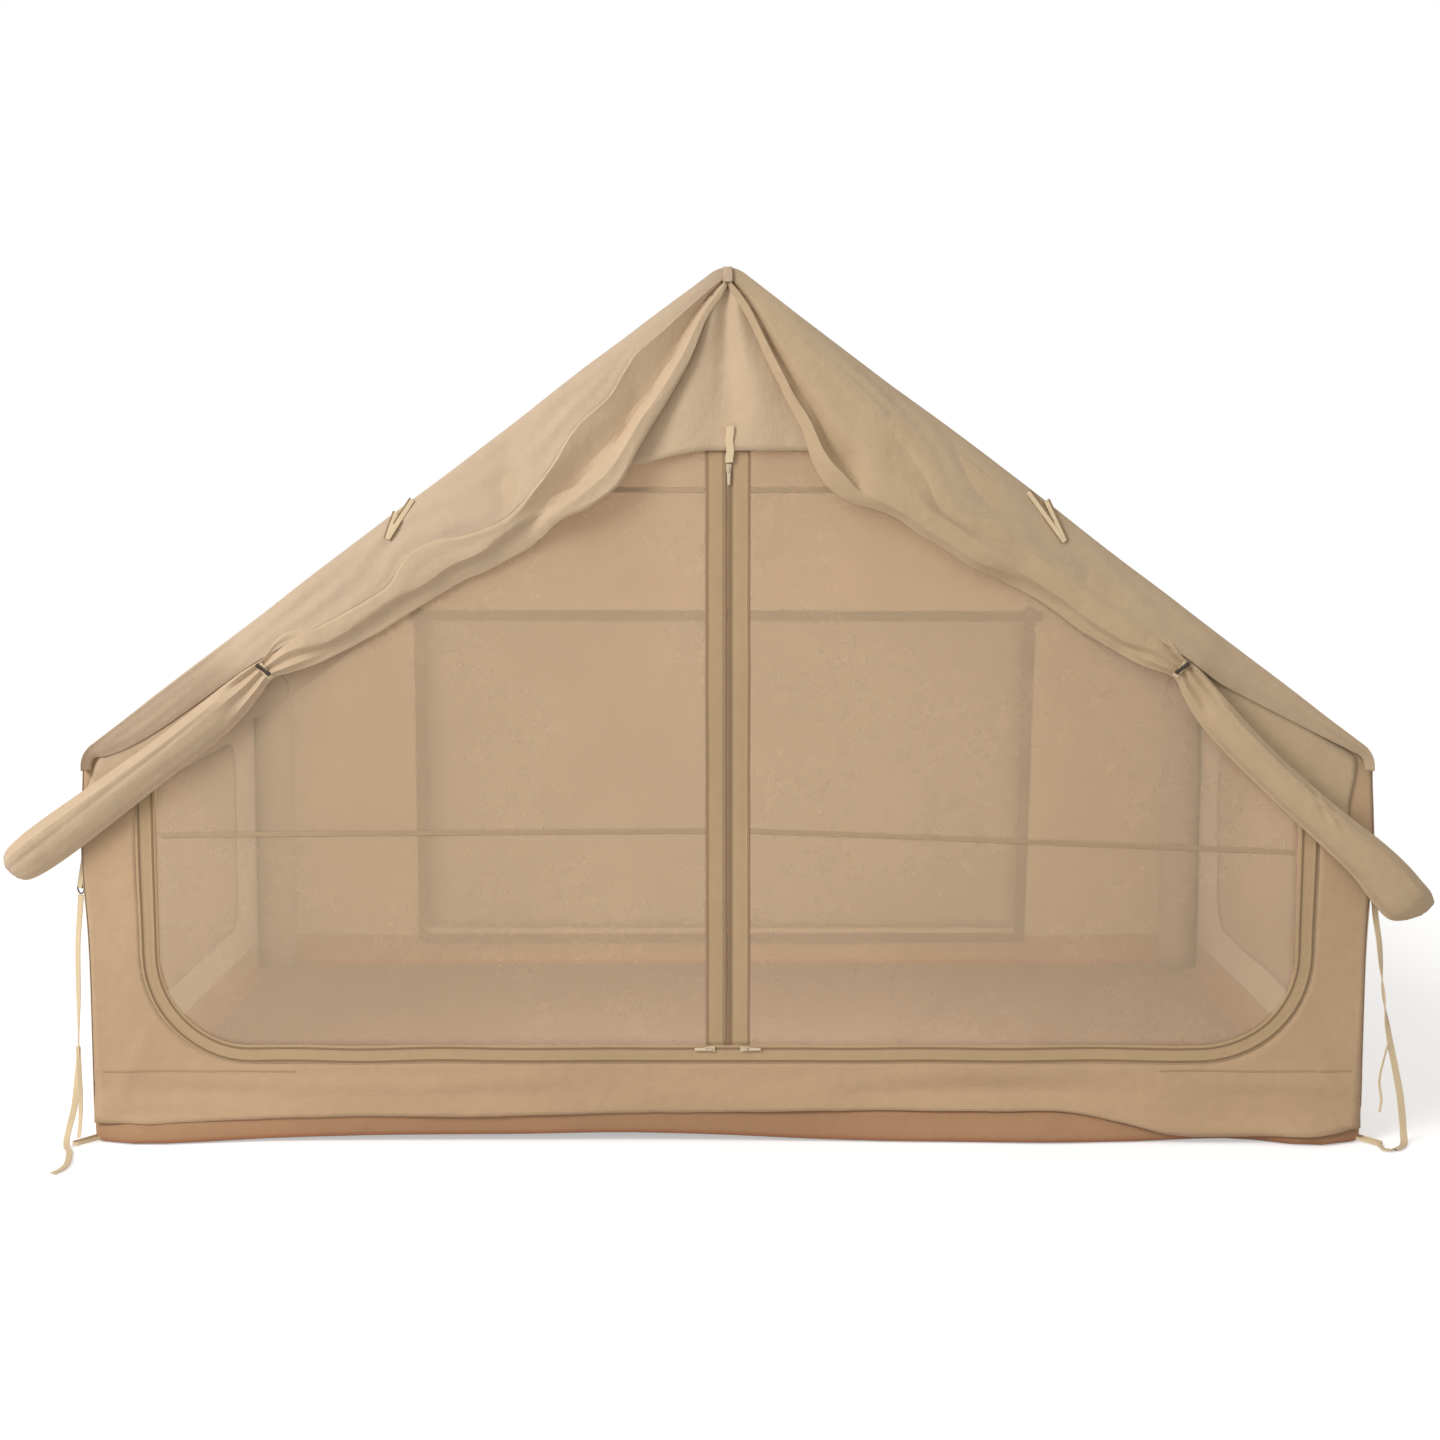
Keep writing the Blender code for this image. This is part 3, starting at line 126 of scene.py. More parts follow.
RIGHT_FOLD_SHARES = (
    (0.016, 0.0155), (0.03, 0.019), (0.055, 0.027), (0.104, 0.051), (0.151, 0.073), (0.194, 0.091),
    (0.241, 0.11), (0.27, 0.114), (0.3, 0.121), (0.358, 0.116), (0.447, 0.109), (0.53, 0.091), (0.6, 0.086),
    (0.65, 0.083), (0.7, 0.078), (0.75, 0.062),
)
# Each side's gathered door: its table, the share of the slope at its tie, and the hem and folds over it
GATHERED = {
    -1: (LEFT_CURTAIN_SHARES, 0.754, LEFT_HEM_SHARES, LEFT_FOLD_SHARES),
    1: (RIGHT_CURTAIN_SHARES, 0.743, RIGHT_HEM_SHARES, RIGHT_FOLD_SHARES),
}
LAYERS = 7

# Windows: the corner of the hole, and how far the hole, net, cover and binding reach past it
WINDOW_CORNER = 0.10
WINDOW_LAPS = (0.0, 0.015, 0.030, 0.022)

# Camera: sensor and lens in mm, shifts in pixels of the square picture, place in metres, tilt in degrees
SENSOR = 36.0
LENS = 60.557
PICTURE = 1440
SHIFT_ACROSS = -7.6
SHIFT_UP = 19.7
CAMERA_PLACE = (0.0, -6.65, 1.59)
CAMERA_TILT = 6.417
# Lamps: the key in W/m2, the window and the lamp inside the tent in W, the fill and the glow as strengths
KEY_POWER = 0.86
WINDOW_POWER = 120
INNER_POWER = 42
FILL_STRENGTH = 0.52
FLOOR_GLOW = 0.45
# The floor: half its width, its near and far edges and its height
FLOOR_HALF = 14
FLOOR_NEAR = -10
FLOOR_FAR = 16
FLOOR_HEIGHT = -0.0004

LEFT_STRAP_ROUTE = (
    (-1.5191, -1.0346, 0.5922), (-1.523, -1.035, 0.55), (-1.529, -1.037, 0.48), (-1.53, -1.04, 0.42),
    (-1.53, -1.043, 0.36), (-1.531, -1.046, 0.29), (-1.533, -1.049, 0.22), (-1.537, -1.054, 0.15),
    (-1.543, -1.06, 0.09), (-1.553, -1.07, 0.045), (-1.556, -1.087, 0.018), (-1.55, -1.112, 0.006),
    (-1.535, -1.145, 0.0045), (-1.524, -1.19, 0.0045), (-1.515, -1.235, 0.0045), (-1.513, -1.27, 0.0045),
    (-1.518, -1.3, 0.0045), (-1.527, -1.32, 0.0045),
)
RIGHT_STRAP_ROUTE = (
    (1.5191, -1.0346, 0.5922), (1.524, -1.035, 0.54), (1.534, -1.036, 0.48), (1.54, -1.037, 0.42),
    (1.547, -1.038, 0.36), (1.555, -1.039, 0.3), (1.566, -1.04, 0.24), (1.58, -1.041, 0.175),
    (1.592, -1.043, 0.115), (1.599, -1.045, 0.06), (1.601, -1.052, 0.022), (1.598, -1.07, 0.007),
    (1.587, -1.098, 0.0045), (1.57, -1.12, 0.0045), (1.55, -1.132, 0.0045), (1.533, -1.13, 0.006),
    (1.528, -1.115, 0.012),
)

LEFT_TAIL_ROUTE = (
    (-1.5325, -1.0505, 0.232), (-1.529, -1.059, 0.17), (-1.5265, -1.064, 0.11), (-1.528, -1.07, 0.05),
    (-1.53, -1.08, 0.019),
)
RIGHT_TAIL_ROUTE = (
    (1.56, -1.044, 0.236), (1.548, -1.052, 0.196), (1.539, -1.056, 0.15), (1.544, -1.059, 0.108),
    (1.54, -1.062, 0.076),
)

# Along the front: height of the canvas's lower edge, and how far the tub bellies forward and lifts
FRONT_HEM = (
    (-1.51, 0.050), (-1.335, 0.050), (-1.10, 0.058), (-0.873, 0.064), (-0.572, 0.064), (-0.30, 0.071),
    (0.0, 0.075), (0.30, 0.078), (0.60, 0.077), (0.80, 0.074), (0.93, 0.052), (1.06, 0.020), (1.20, 0.018),
    (1.35, 0.026), (1.51, 0.036),
)
TUB_FORWARD = (
    (-1.5, 0.0), (-1.44, 0.020), (-1.38, 0.034), (-1.28, 0.024), (-1.10, 0.004), (-0.9, 0.0), (0.10, 0.0),
    (0.40, 0.008), (0.75, 0.022), (0.95, 0.012), (1.15, 0.0), (1.27, 0.012), (1.37, 0.044), (1.44, 0.030),
    (1.5, 0.0),
)
TUB_LIFT = (
    (-1.5, 0.0), (-1.30, 0.0), (-1.05, 0.007), (-0.80, 0.013), (-0.50, 0.015), (-0.25, 0.019), (0.0, 0.013),
    (0.20, 0.004), (0.40, 0.0), (0.95, 0.0), (1.10, 0.004), (1.20, 0.005), (1.32, 0.0), (1.5, 0.0),
)


def smooth(low, high, value):
    t = min(max((value - low) / (high - low), 0.0), 1.0)
    return t * t * (3 - 2 * t)


def bump(value, centre, width):
    return math.exp(-(((value - centre) / width) ** 2))


def wobble(x, y, z=0.0):
    return noise.noise(Vector((x, y, z)))


def spread(first, last, pieces):
    """Evenly spaced values from first to last, both included."""
    return [first + (last - first) * i / pieces for i in range(pieces + 1)]


def table_value(rows, key):
    """The columns of a table at a key in its first column, on a smooth curve through the rows."""
    i = 0
    while i < len(rows) - 2 and rows[i + 1][0] < key:
        i += 1
    before, a, b, after = (rows[min(max(k, 0), len(rows) - 1)] for k in (i - 1, i, i + 1, i + 2))
    span = b[0] - a[0]
    t = min(max((key - a[0]) / span, 0.0), 1.0)
    found = []
    for p, q, r, s in zip(before[1:], a[1:], b[1:], after[1:]):
        low = (r - p) / max(b[0] - before[0], 1e-6) * span
        high = (s - q) / max(after[0] - a[0], 1e-6) * span
        found.append((2 * t**3 - 3 * t**2 + 1) * q + (t**3 - 2 * t**2 + t) * low
                     + (3 * t**2 - 2 * t**3) * r + (t**3 - t**2) * high)
    return found


def smooth_route(points, spacing):
    """Points about one spacing apart on a smooth curve through the route's own points."""
    route = [Vector(point) for point in points]
    padded = [2 * route[0] - route[1]] + route + [2 * route[-1] - route[-2]]
    fine = []
    for a, b, c, d in zip(padded, padded[1:], padded[2:], padded[3:]):
        pieces = max(1, round((c - b).length / spacing))
        for i in range(pieces):
            t = i / pieces
            fine.append(0.5 * (2 * b + (c - a) * t + (2 * a - 5 * b + 4 * c - d) * t * t
                               + (3 * b - a - 3 * c + d) * t**3))
    return fine + [route[-1]]


# Materials
def add_node(tree, kind, **values):
    """A node with the values of its named inputs."""
    node = tree.nodes.new(kind)
    for name, value in values.items():
        node.inputs[name].default_value = value
    return node


def new_material(name, colour, roughness, metallic=0.0):
    material = bpy.data.materials.new(name)
    material.use_nodes = True
    tree = material.node_tree
    shader = tree.nodes["Principled BSDF"]
    shader.inputs["Base Color"].default_value = (*colour, 1)
    shader.inputs["Roughness"].default_value = roughness
    shader.inputs["Metallic"].default_value = metallic
    material.diffuse_color = (*colour, 1)
    return material, tree, shader


def mottled(tree, colour, scale, amount, detail=4.0):
    """A colour that drifts lighter and darker over the surface."""
    place = tree.nodes.new("ShaderNodeTexCoord")
    mapping = tree.nodes.new("ShaderNodeMapping")
    tree.links.new(place.outputs["Object"], mapping.inputs["Vector"])
    pattern = add_node(tree, "ShaderNodeTexNoise", Scale=scale, Detail=detail)
    tree.links.new(mapping.outputs["Vector"], pattern.inputs["Vector"])
    ramp = tree.nodes.new("ShaderNodeValToRGB")
    for stop, position, change in zip(ramp.color_ramp.elements, (0.3, 0.7), (-amount, amount)):
        stop.position = position
        stop.color = (*(min(c * (1 + change), 1) for c in colour), 1)
    tree.links.new(pattern.outputs["Fac"], ramp.inputs["Fac"])
    return mapping, ramp.outputs["Color"]


def weave_height(tree, mapping, pitch):
    """The sum of three wave patterns, which reads as a plain weave on any face."""
    total = None
    for direction in ("X", "Y", "Z"):
        wave = add_node(tree, "ShaderNodeTexWave", Scale=0.314 / pitch, Distortion=0.4, Detail=0.0)
        wave.bands_direction = direction
        tree.links.new(mapping.outputs["Vector"], wave.inputs["Vector"])
        if total is None:
            total = wave.outputs["Fac"]
        else:
            add = tree.nodes.new("ShaderNodeMath")
            tree.links.new(total, add.inputs[0])
            tree.links.new(wave.outputs["Fac"], add.inputs[1])
            total = add.outputs["Value"]
    return total


def add_bump(tree, shader, height, distance, strength, before=None):
    node = add_node(tree, "ShaderNodeBump", Distance=distance, Strength=strength)
    tree.links.new(height, node.inputs["Height"])
    if before:
        tree.links.new(before, node.inputs["Normal"])
    tree.links.new(node.outputs["Normal"], shader.inputs["Normal"])
    return node.outputs["Normal"]


def cloth_material(name, colour, roughness=0.9, pitch=0.0016, mottle=0.05, crumple=0.0022, alpha=1.0):
    """Woven cloth: drifting colour, soft crumples and a fine weave."""
    material, tree, shader = new_material(name, colour, roughness)
    mapping, drift = mottled(tree, colour, 2.4, mottle)
    _, fine = mottled(tree, (1, 1, 1), 34.0, 0.045, detail=6.0)
    mix = tree.nodes.new("ShaderNodeMix")
    mix.data_type = "RGBA"
    mix.blend_type = "MULTIPLY"
    mix.inputs["Factor"].default_value = 1.0
    tree.links.new(drift, mix.inputs[6])
    tree.links.new(fine, mix.inputs[7])
    tree.links.new(mix.outputs[2], shader.inputs["Base Color"])
    crumples = add_node(tree, "ShaderNodeTexNoise", Scale=9.0, Detail=5.0, Roughness=0.55)
    tree.links.new(mapping.outputs["Vector"], crumples.inputs["Vector"])
    first = add_bump(tree, shader, crumples.outputs["Fac"], crumple * 6, 0.55)
    add_bump(tree, shader, weave_height(tree, mapping, pitch), 0.00025, 0.5, before=first)
    shader.inputs["Sheen Weight"].default_value = 0.12
    shader.inputs["Sheen Roughness"].default_value = 0.6
    shader.inputs["Specular IOR Level"].default_value = 0.25
    shader.inputs["Alpha"].default_value = alpha
    return material


def smooth_material(name, colour, roughness, grain, metallic=0.0):
    """Metal, film or plastic with faint unevenness in its colour, gloss and surface."""
    material, tree, shader = new_material(name, colour, roughness, metallic)
    mapping, drift = mottled(tree, colour, 14.0, 0.06)
    tree.links.new(drift, shader.inputs["Base Color"])
    pattern = add_node(tree, "ShaderNodeTexNoise", Scale=grain, Detail=4.0)
    tree.links.new(mapping.outputs["Vector"], pattern.inputs["Vector"])
    gloss = tree.nodes.new("ShaderNodeMapRange")
    gloss.inputs["To Min"].default_value = roughness * 0.8
    gloss.inputs["To Max"].default_value = min(roughness * 1.25, 1)
    tree.links.new(pattern.outputs["Fac"], gloss.inputs["Value"])
    tree.links.new(gloss.outputs["Result"], shader.inputs["Roughness"])
    add_bump(tree, shader, pattern.outputs["Fac"], 0.0001, 0.6)
    return material


CANVAS = cloth_material("canvas", (0.533, 0.361, 0.216))
ROOF_CANVAS = cloth_material("roof_canvas", (0.590, 0.445, 0.310), mottle=0.07)
# A darker copy of the roof canvas for the right roof half: painted shade
ROOF_PAINTED_SHADE = cloth_material("roof_canvas_painted_shade", (0.510, 0.377, 0.243), mottle=0.07)
# The front canvas painted lighter for the gathered doors and the gable panel: painted light
FRONT_PAINTED_LIGHT = cloth_material("front_canvas_painted_light", (0.610, 0.452, 0.300), crumple=0.0030)
# A darker copy of that lighter canvas for the right door half: painted shade
FRONT_PAINTED_SHADE = cloth_material("front_canvas_painted_shade", (0.540, 0.392, 0.242), crumple=0.0030)
MESH = cloth_material("mosquito_mesh", (0.60, 0.46, 0.31), pitch=0.0030, crumple=0.0010, alpha=0.42)
SIDE_MESH = cloth_material("side_window_mesh", (0.52, 0.355, 0.225), pitch=0.003, crumple=0.0008, alpha=0.85)
REAR_TAPE = cloth_material("rear_tape", (0.23, 0.145, 0.085), pitch=0.0014, crumple=0.0006)
MESH_TAPE = cloth_material("mesh_tape", (0.45, 0.32, 0.20), pitch=0.0014, crumple=0.0006)
WINDOW_MESH = cloth_material("window_mesh", (0.50, 0.35, 0.22), pitch=0.0030, crumple=0.0008, alpha=0.8)
TUB_CLOTH = cloth_material("groundsheet_pvc", (0.413, 0.231, 0.119), 0.6, 0.0022, 0.07)
# The groundsheet's PVC painted darker for the floor inside the tent: painted shade
TUB_FLOOR_PAINTED_SHADE = cloth_material("groundsheet_floor_painted_shade", (0.30, 0.162, 0.085), 0.7, 0.0022, 0.07)
TUB_EDGE = cloth_material("groundsheet_edge", (0.42, 0.19, 0.09), 0.6, 0.0022, 0.09)
SLEEVE = cloth_material("beam_sleeve", (0.36, 0.245, 0.165), crumple=0.0030)
TAPE = cloth_material("zip_tape", (0.50, 0.345, 0.195), pitch=0.0012, crumple=0.0006)
COIL = cloth_material("zip_coil", (0.27, 0.175, 0.090), roughness=0.6, pitch=0.0016, crumple=0.0003)
BINDING = cloth_material("binding", (0.36, 0.235, 0.135), pitch=0.0014, crumple=0.0008)
SEAM = cloth_material("seam", (0.44, 0.29, 0.165), pitch=0.0014, crumple=0.0008)
WEBBING = cloth_material("webbing", (0.74, 0.58, 0.37), pitch=0.0018, mottle=0.08, crumple=0.0008)
METAL = smooth_material("ring_metal", (0.17, 0.17, 0.16), 0.32, 300.0, metallic=1.0)
ZIP_METAL = smooth_material("zip_metal", (0.66, 0.54, 0.38), 0.45, 300.0)
PLASTIC = smooth_material("valve_plastic", (0.05, 0.048, 0.044), 0.5, 500.0)
TOGGLE_PLASTIC = smooth_material("toggle_plastic", (0.040, 0.024, 0.014), 0.6, 400.0)
FILM = smooth_material("bladder_film", (0.75, 0.75, 0.72), 0.4, 60.0)


# Mesh helpers
def make_mesh(name, points, faces, materials, smooth_shade=True):
    mesh = bpy.data.meshes.new(name)
    mesh.from_pydata([tuple(p) for p in points], [], faces)
    for material in materials:
        mesh.materials.append(material)
    mesh.update()
    if smooth_shade:
        mesh.shade_smooth()
    made = bpy.data.objects.new(name, mesh)
    bpy.context.scene.collection.objects.link(made)
    return made


def grid_faces(rows, count, wrap=False, wrap_rows=False):
    """Four-sided faces between rows of points, count points in each."""
    faces = []
    for i in range(rows if wrap_rows else rows - 1):
        for j in range(count if wrap else count - 1):
            k, m = (i + 1) % rows, (j + 1) % count
            faces.append((i * count + j, i * count + m, k * count + m, k * count + j))
    return faces


def grid_object(name, rows, materials, wrap=False, stripes=None):
    """A skin over rows of points. stripes holds the material of each face along a row."""
    faces = grid_faces(len(rows), len(rows[0]), wrap)
    made = make_mesh(name, [p for row in rows for p in row], faces, materials)
    if stripes:
        made.data.polygons.foreach_set("material_index", stripes * (len(rows) - 1))
    return made


def solidify(made, thickness, offset=0.0):
    modifier = made.modifiers.new("cloth", "SOLIDIFY")
    modifier.thickness = thickness
    modifier.offset = offset


def settle(made, slot, *nodes, body="root"):
    """Hides the nodes that a piece stands for and hangs it on the body that it rides on; slot is not used."""
    if nodes:
        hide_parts(*nodes)
    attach(made, body)
    return made


def finish(made, outward, thickness, slot, *nodes, offset=0.0, body="root"):
    """Turns a cloth outward, gives it its thickness and settles it."""
    face_out(made, outward)
    solidify(made, thickness, offset)
    return settle(made, slot, *nodes, body=body)


def bend_along(made, slot, label, bend, *nodes):
    """A piece that goes with a mesh flap: hides the nodes that it stands for and bakes its place into its
    points.
    """
    if nodes:
        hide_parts(*nodes)
    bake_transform(made)


def face_out(made, direction):
    """Turns all faces over if most of them don't face along direction."""
    total = sum((p.normal.dot(Vector(direction)) * p.area for p in made.data.polygons), 0.0)
    if total < 0:
        made.data.flip_normals()


def arc(centre, radius, start, end, steps):
    x, y = centre
    return [(x + radius * math.cos(a), y + radius * math.sin(a)) for a in spread(start, end, steps)]


def ray_length(outline, centre, angle):
    """How far a ray from the centre runs before it meets a closed outline."""
    dx, dz = math.cos(angle), math.sin(angle)
    best = 0.0
    for (ax, az), (bx, bz) in zip(outline, outline[1:] + outline[:1]):
        ex, ez = bx - ax, bz - az
        cross = dx * ez - dz * ex
        if abs(cross) < 1e-12:
            continue
        t = ((ax - centre[0]) * ez - (az - centre[1]) * ex) / cross
        u = ((ax - centre[0]) * dz - (az - centre[1]) * dx) / cross
        if t > 0 and -1e-9 <= u <= 1 + 1e-9:
            best = max(best, t)
    return best


def fan_angles(centre, outline, steps):
    """Evenly spaced directions from a centre, and one through every corner of an outline."""
    angles = [2 * math.pi * i / steps for i in range(steps)]
    angles += [math.atan2(z - centre[1], x - centre[0]) % (2 * math.pi) for x, z in outline]
    angles.sort()
    return [a for a, b in zip(angles, angles[1:] + [angles[0] + 7]) if b - a > 1e-4]


def framed_patch(name, inner, outer, centre, place, material, steps=240):
    """Cloth between two outlines round a common centre, with a point at every corner of either."""
    rings = 12
    kept = fan_angles(centre, inner + outer, steps)
    reaches = [(ray_length(inner, centre, a), ray_length(outer, centre, a)) for a in kept]
    rows = []
    for k in range(rings + 1):
        row = []
        for angle, (low, high) in zip(kept, reaches):
            r = low + (high - low) * k / rings
            row.append(place(centre[0] + r * math.cos(angle), centre[1] + r * math.sin(angle)))
        rows.append(row)
    return grid_object(name, rows, [material], wrap=True)


def rounded_rectangle(low, high, radius, steps=6):
    quarter = math.pi / 2
    outline = arc((high[0] - radius, high[1] - radius), radius, 0, quarter, steps)
    outline += arc((low[0] + radius, high[1] - radius), radius, quarter, 2 * quarter, steps)
    outline += arc((low[0] + radius, low[1] + radius), radius, 2 * quarter, 3 * quarter, steps)
    return outline + arc((high[0] - radius, low[1] + radius), radius, 3 * quarter, 4 * quarter, steps)


def ribbon(name, path, across, width, thickness, material, closed=False):
    """Webbing along a path. across is the direction of its width, or gives it as across(i, share)."""
    half, flank, thick = width / 2, width / 2 - thickness * 0.35, thickness / 2
    crown = thickness * 0.56
    section = ((-half, 0), (-flank, thick), (0, crown), (flank, thick),
               (half, 0), (flank, -thick), (0, -crown), (-flank, -thick))
    count = len(path)
    points = []
    for i, point in enumerate(path):
        before = path[i - 1] if (i or closed) else path[0]
        after = path[(i + 1) % count] if (i < count - 1 or closed) else path[-1]
        along = (Vector(after) - Vector(before)).normalized()
        wide = Vector(across(i, i / max(count - 1, 1)) if callable(across) else across)
        wide = (wide - along * wide.dot(along)).normalized()
        up = along.cross(wide)
        points += [Vector(point) + wide * u + up * v for u, v in section]
    faces = grid_faces(count, 8, wrap=True, wrap_rows=closed)
    if closed:
        return make_mesh(name, points, faces, [material])
    faces += [tuple(range(8))[::-1], tuple(range((count - 1) * 8, count * 8))]
    made = make_mesh(name, points, faces, [material])
    made.data.set_sharp_from_angle(angle=math.radians(50))
    return made


# Shapes of the front in X and Z
def roof_line(x):
    return SHARP_RIDGE - math.tan(SLOPE) * abs(x)


def strip_line(x):
    return roof_line(x) - STRIP


def house_outline(bottom):
    """The gable's outline just inside the roof."""
    radius = COVER - 0.0033
    lean = math.pi / 2 - SLOPE
    outline = [(POST_X + radius, bottom)]
    outline += arc((POST_X, EAVE), radius, 0, lean, 8)
    outline += arc((0, RIDGE), radius, lean, math.pi - lean, 16)
    outline += arc((-POST_X, EAVE), radius, math.pi - lean, math.pi, 8)
    return outline + [(-POST_X - radius, bottom)]


def door_edge(inset):
    """The U of the door opening from the upper left, round the sill, to the upper right."""
    half = DOOR_HALF - inset
    bottom = DOOR_BOTTOM + inset
    radius = DOOR_CORNER - inset
    top = strip_line(half)
    left = [(-half, z) for z in spread(top, bottom + radius, 8)[:-1]]
    left += arc((radius - half, bottom + radius), radius, math.pi, 1.5 * math.pi, 14)
    sill = [(x, bottom) for x in spread(radius - half, half - radius, 36)[1:-1]]
    return left + sill + [(-x, z) for x, z in left[::-1]]


def corner_push(y, z):
    """The walls bow outward near the front corners."""
    return 0.012 * bump(z, 0.70, 0.16) * smooth(-0.72, -1.0, y)


def hem_edge(x):
    """The lower edge of the front canvas, which droops over the tub."""
    return table_value(FRONT_HEM, x)[0] + 0.0025 * wobble(x * 7.0, 9.0) + 0.0012 * wobble(x * 21.0, 3.0)


def front_relief(x, z):
    """How far the front cloth stands out of its plane: soft billows, sill wrinkles and corner tension."""
    sill = smooth(0.188, 0.13, z)
    side = smooth(1.33, 1.42, abs(x)) * smooth(0.95, 0.7, z)
    out = sill * 0.0070 * wobble(x * 2.3, z * 14.0, 3.1)
    out += sill * 0.0040 * math.sin(x * 3.1 + 18.0 * z + 0.6) * bump(z, 0.12, 0.05)
    out += sill * 0.0035 * creased(x * 1.7 + z * 4.0, z * 9.0 - x * 0.8, 2.0)
    out += side * 0.004 * wobble(x * 9.0, z * 3.2, 7.7)
    flat = smooth(0.0, 0.03, abs(abs(x) - 0.026) - 0.03) * (1 - bump(z, 0.2265, 0.02))
    out += 0.0012 * wobble(x * 4.0, z * 4.0, 1.3) * flat
    lean = abs(x) - 1.36 + (z - 0.18) * 0.5
    out += 0.004 * bump(lean, 0.05, 0.02) * smooth(0.5, 0.2, z) * smooth(1.3, 1.4, abs(x))
    droop = smooth(0.105, 0.080, z)
    out += tub_forward(x) * smooth(0.080, 0.012, z) * smooth(1.5, 1.45, abs(x))
    out += droop * (0.0030 + 0.008 * smooth(0.08, 0.0, z)) + 0.008 * bump(z, hem_edge(x) + 0.02, 0.022) * (
        smooth(0.7, 0.95, x) * smooth(1.45, 1.2, x))
    low = smooth(0.125, 0.094, z)
    return max(out, 0.0045 + 0.6 * out) * low + out * (1 - low)


def mesh_relief(x, z):
    """The mesh hangs slack between its zips, and ends flat at its edges."""
    edge = min(1.0, max(0.0, (z - 0.24) / 0.10)) * min(1.0, max(0.0, (1.31 - abs(x)) / 0.10))
    edge *= smooth(0.045, 0.16, abs(x)) * smooth(0.0, 0.12, strip_line(x) - z)
    waves = 0.004 * wobble(x * 3.4, z * 1.5, 5.0) + 0.003 * math.sin(7.0 * abs(x) + 2.2 * z)
    return edge * (waves - 0.004) + (1 - edge) * front_relief(x, z)


def front_point(x, z, out=0.0):
    push = corner_push(FRONT, z) * smooth(1.30, 1.48, abs(x))
    return Vector((x + math.copysign(push, x), FRONT - front_relief(x, z) - out, z))


def make_camera():
    data = bpy.data.cameras.new("camera")
    data.sensor_width = SENSOR
    data.lens = LENS
    data.shift_x = SHIFT_ACROSS / PICTURE
    data.shift_y = SHIFT_UP / PICTURE
    camera = bpy.data.objects.new("camera", data)
    camera.location = CAMERA_PLACE
    camera.rotation_euler = (math.radians(90 - CAMERA_TILT), 0.0, 0.0)
    bpy.context.scene.collection.objects.link(camera)
    bpy.context.scene.camera = camera


def lay_cord(made, path, start, width, far, *nodes):
    settle(made, "webbing", *nodes)


def make_straps():
    """The guy straps at the front corners, flat webbing that twists as it falls, and their short ends."""
    for side, route, width, far, twist in (
            (-1, LEFT_STRAP_ROUTE, 0.015, "bare", (0.15, 1.0, 0.42, 0.10, 0.3, 7)),
            (1, RIGHT_STRAP_ROUTE, 0.017, "object", (0.25, 1.25, 0.33, 0.08, 0.25, 6))):
        node = "left_guy_strap" if side < 0 else "right_guy_strap"
        path = smooth_route(route, 0.012)

        def across(i, share):
            lean, most, where, spell, sway, times = twist
            turn = lean + most * bump(share, where, spell) + sway * math.sin(times * share)
            lying = smooth(0.06, 0.015, path[i].z)
            upright = Vector((math.cos(turn), side * math.sin(turn), 0))
            ahead = path[min(i + 1, len(path) - 1)] - path[max(i - 1, 0)]
            flat = Vector((0, 0, 1)).cross(ahead)
            if flat.dot(upright) < 0:
                flat = -flat
            return upright * (1 - lying) + flat.normalized() * lying if flat.length > 1e-6 else upright

        strap = ribbon(node + "_webbing", path, across, width, 0.0026, WEBBING)
        lay_cord(strap, path, route[0], width, far, node)
    for name, route, width, far in (("left_guy_tail", LEFT_TAIL_ROUTE, 0.011, "object"),
                                    ("right_guy_tail", RIGHT_TAIL_ROUTE, 0.006, "bare")):
        path = smooth_route(route, 0.008)
        tail = ribbon(name, path, lambda i, share: (1, 0.4 * math.sin(5 * share), 0), width, 0.0022, WEBBING)
        lay_cord(tail, path, route[0], width, far)


def curtain_place(side, along, below, y):
    x = along * math.cos(SLOPE) - below * math.sin(SLOPE)
    z = SHARP_RIDGE - along * math.sin(SLOPE) - below * math.cos(SLOPE)
    return Vector((side * x, y, z))


def mixed(a, b, share):
    return [(p[0] + (q[0] - p[0]) * share, p[1] + (q[1] - p[1]) * share) for p, q in zip(a, b)]


def creased(x, y, z=0.0):
    """Sharp little ridges and valleys, as in stiff cloth, from about -1 to 1."""
    return 1 - 3.2 * abs(wobble(x, y, z)) + 0.5 * wobble(x * 2.3, y * 2.3, z + 4)


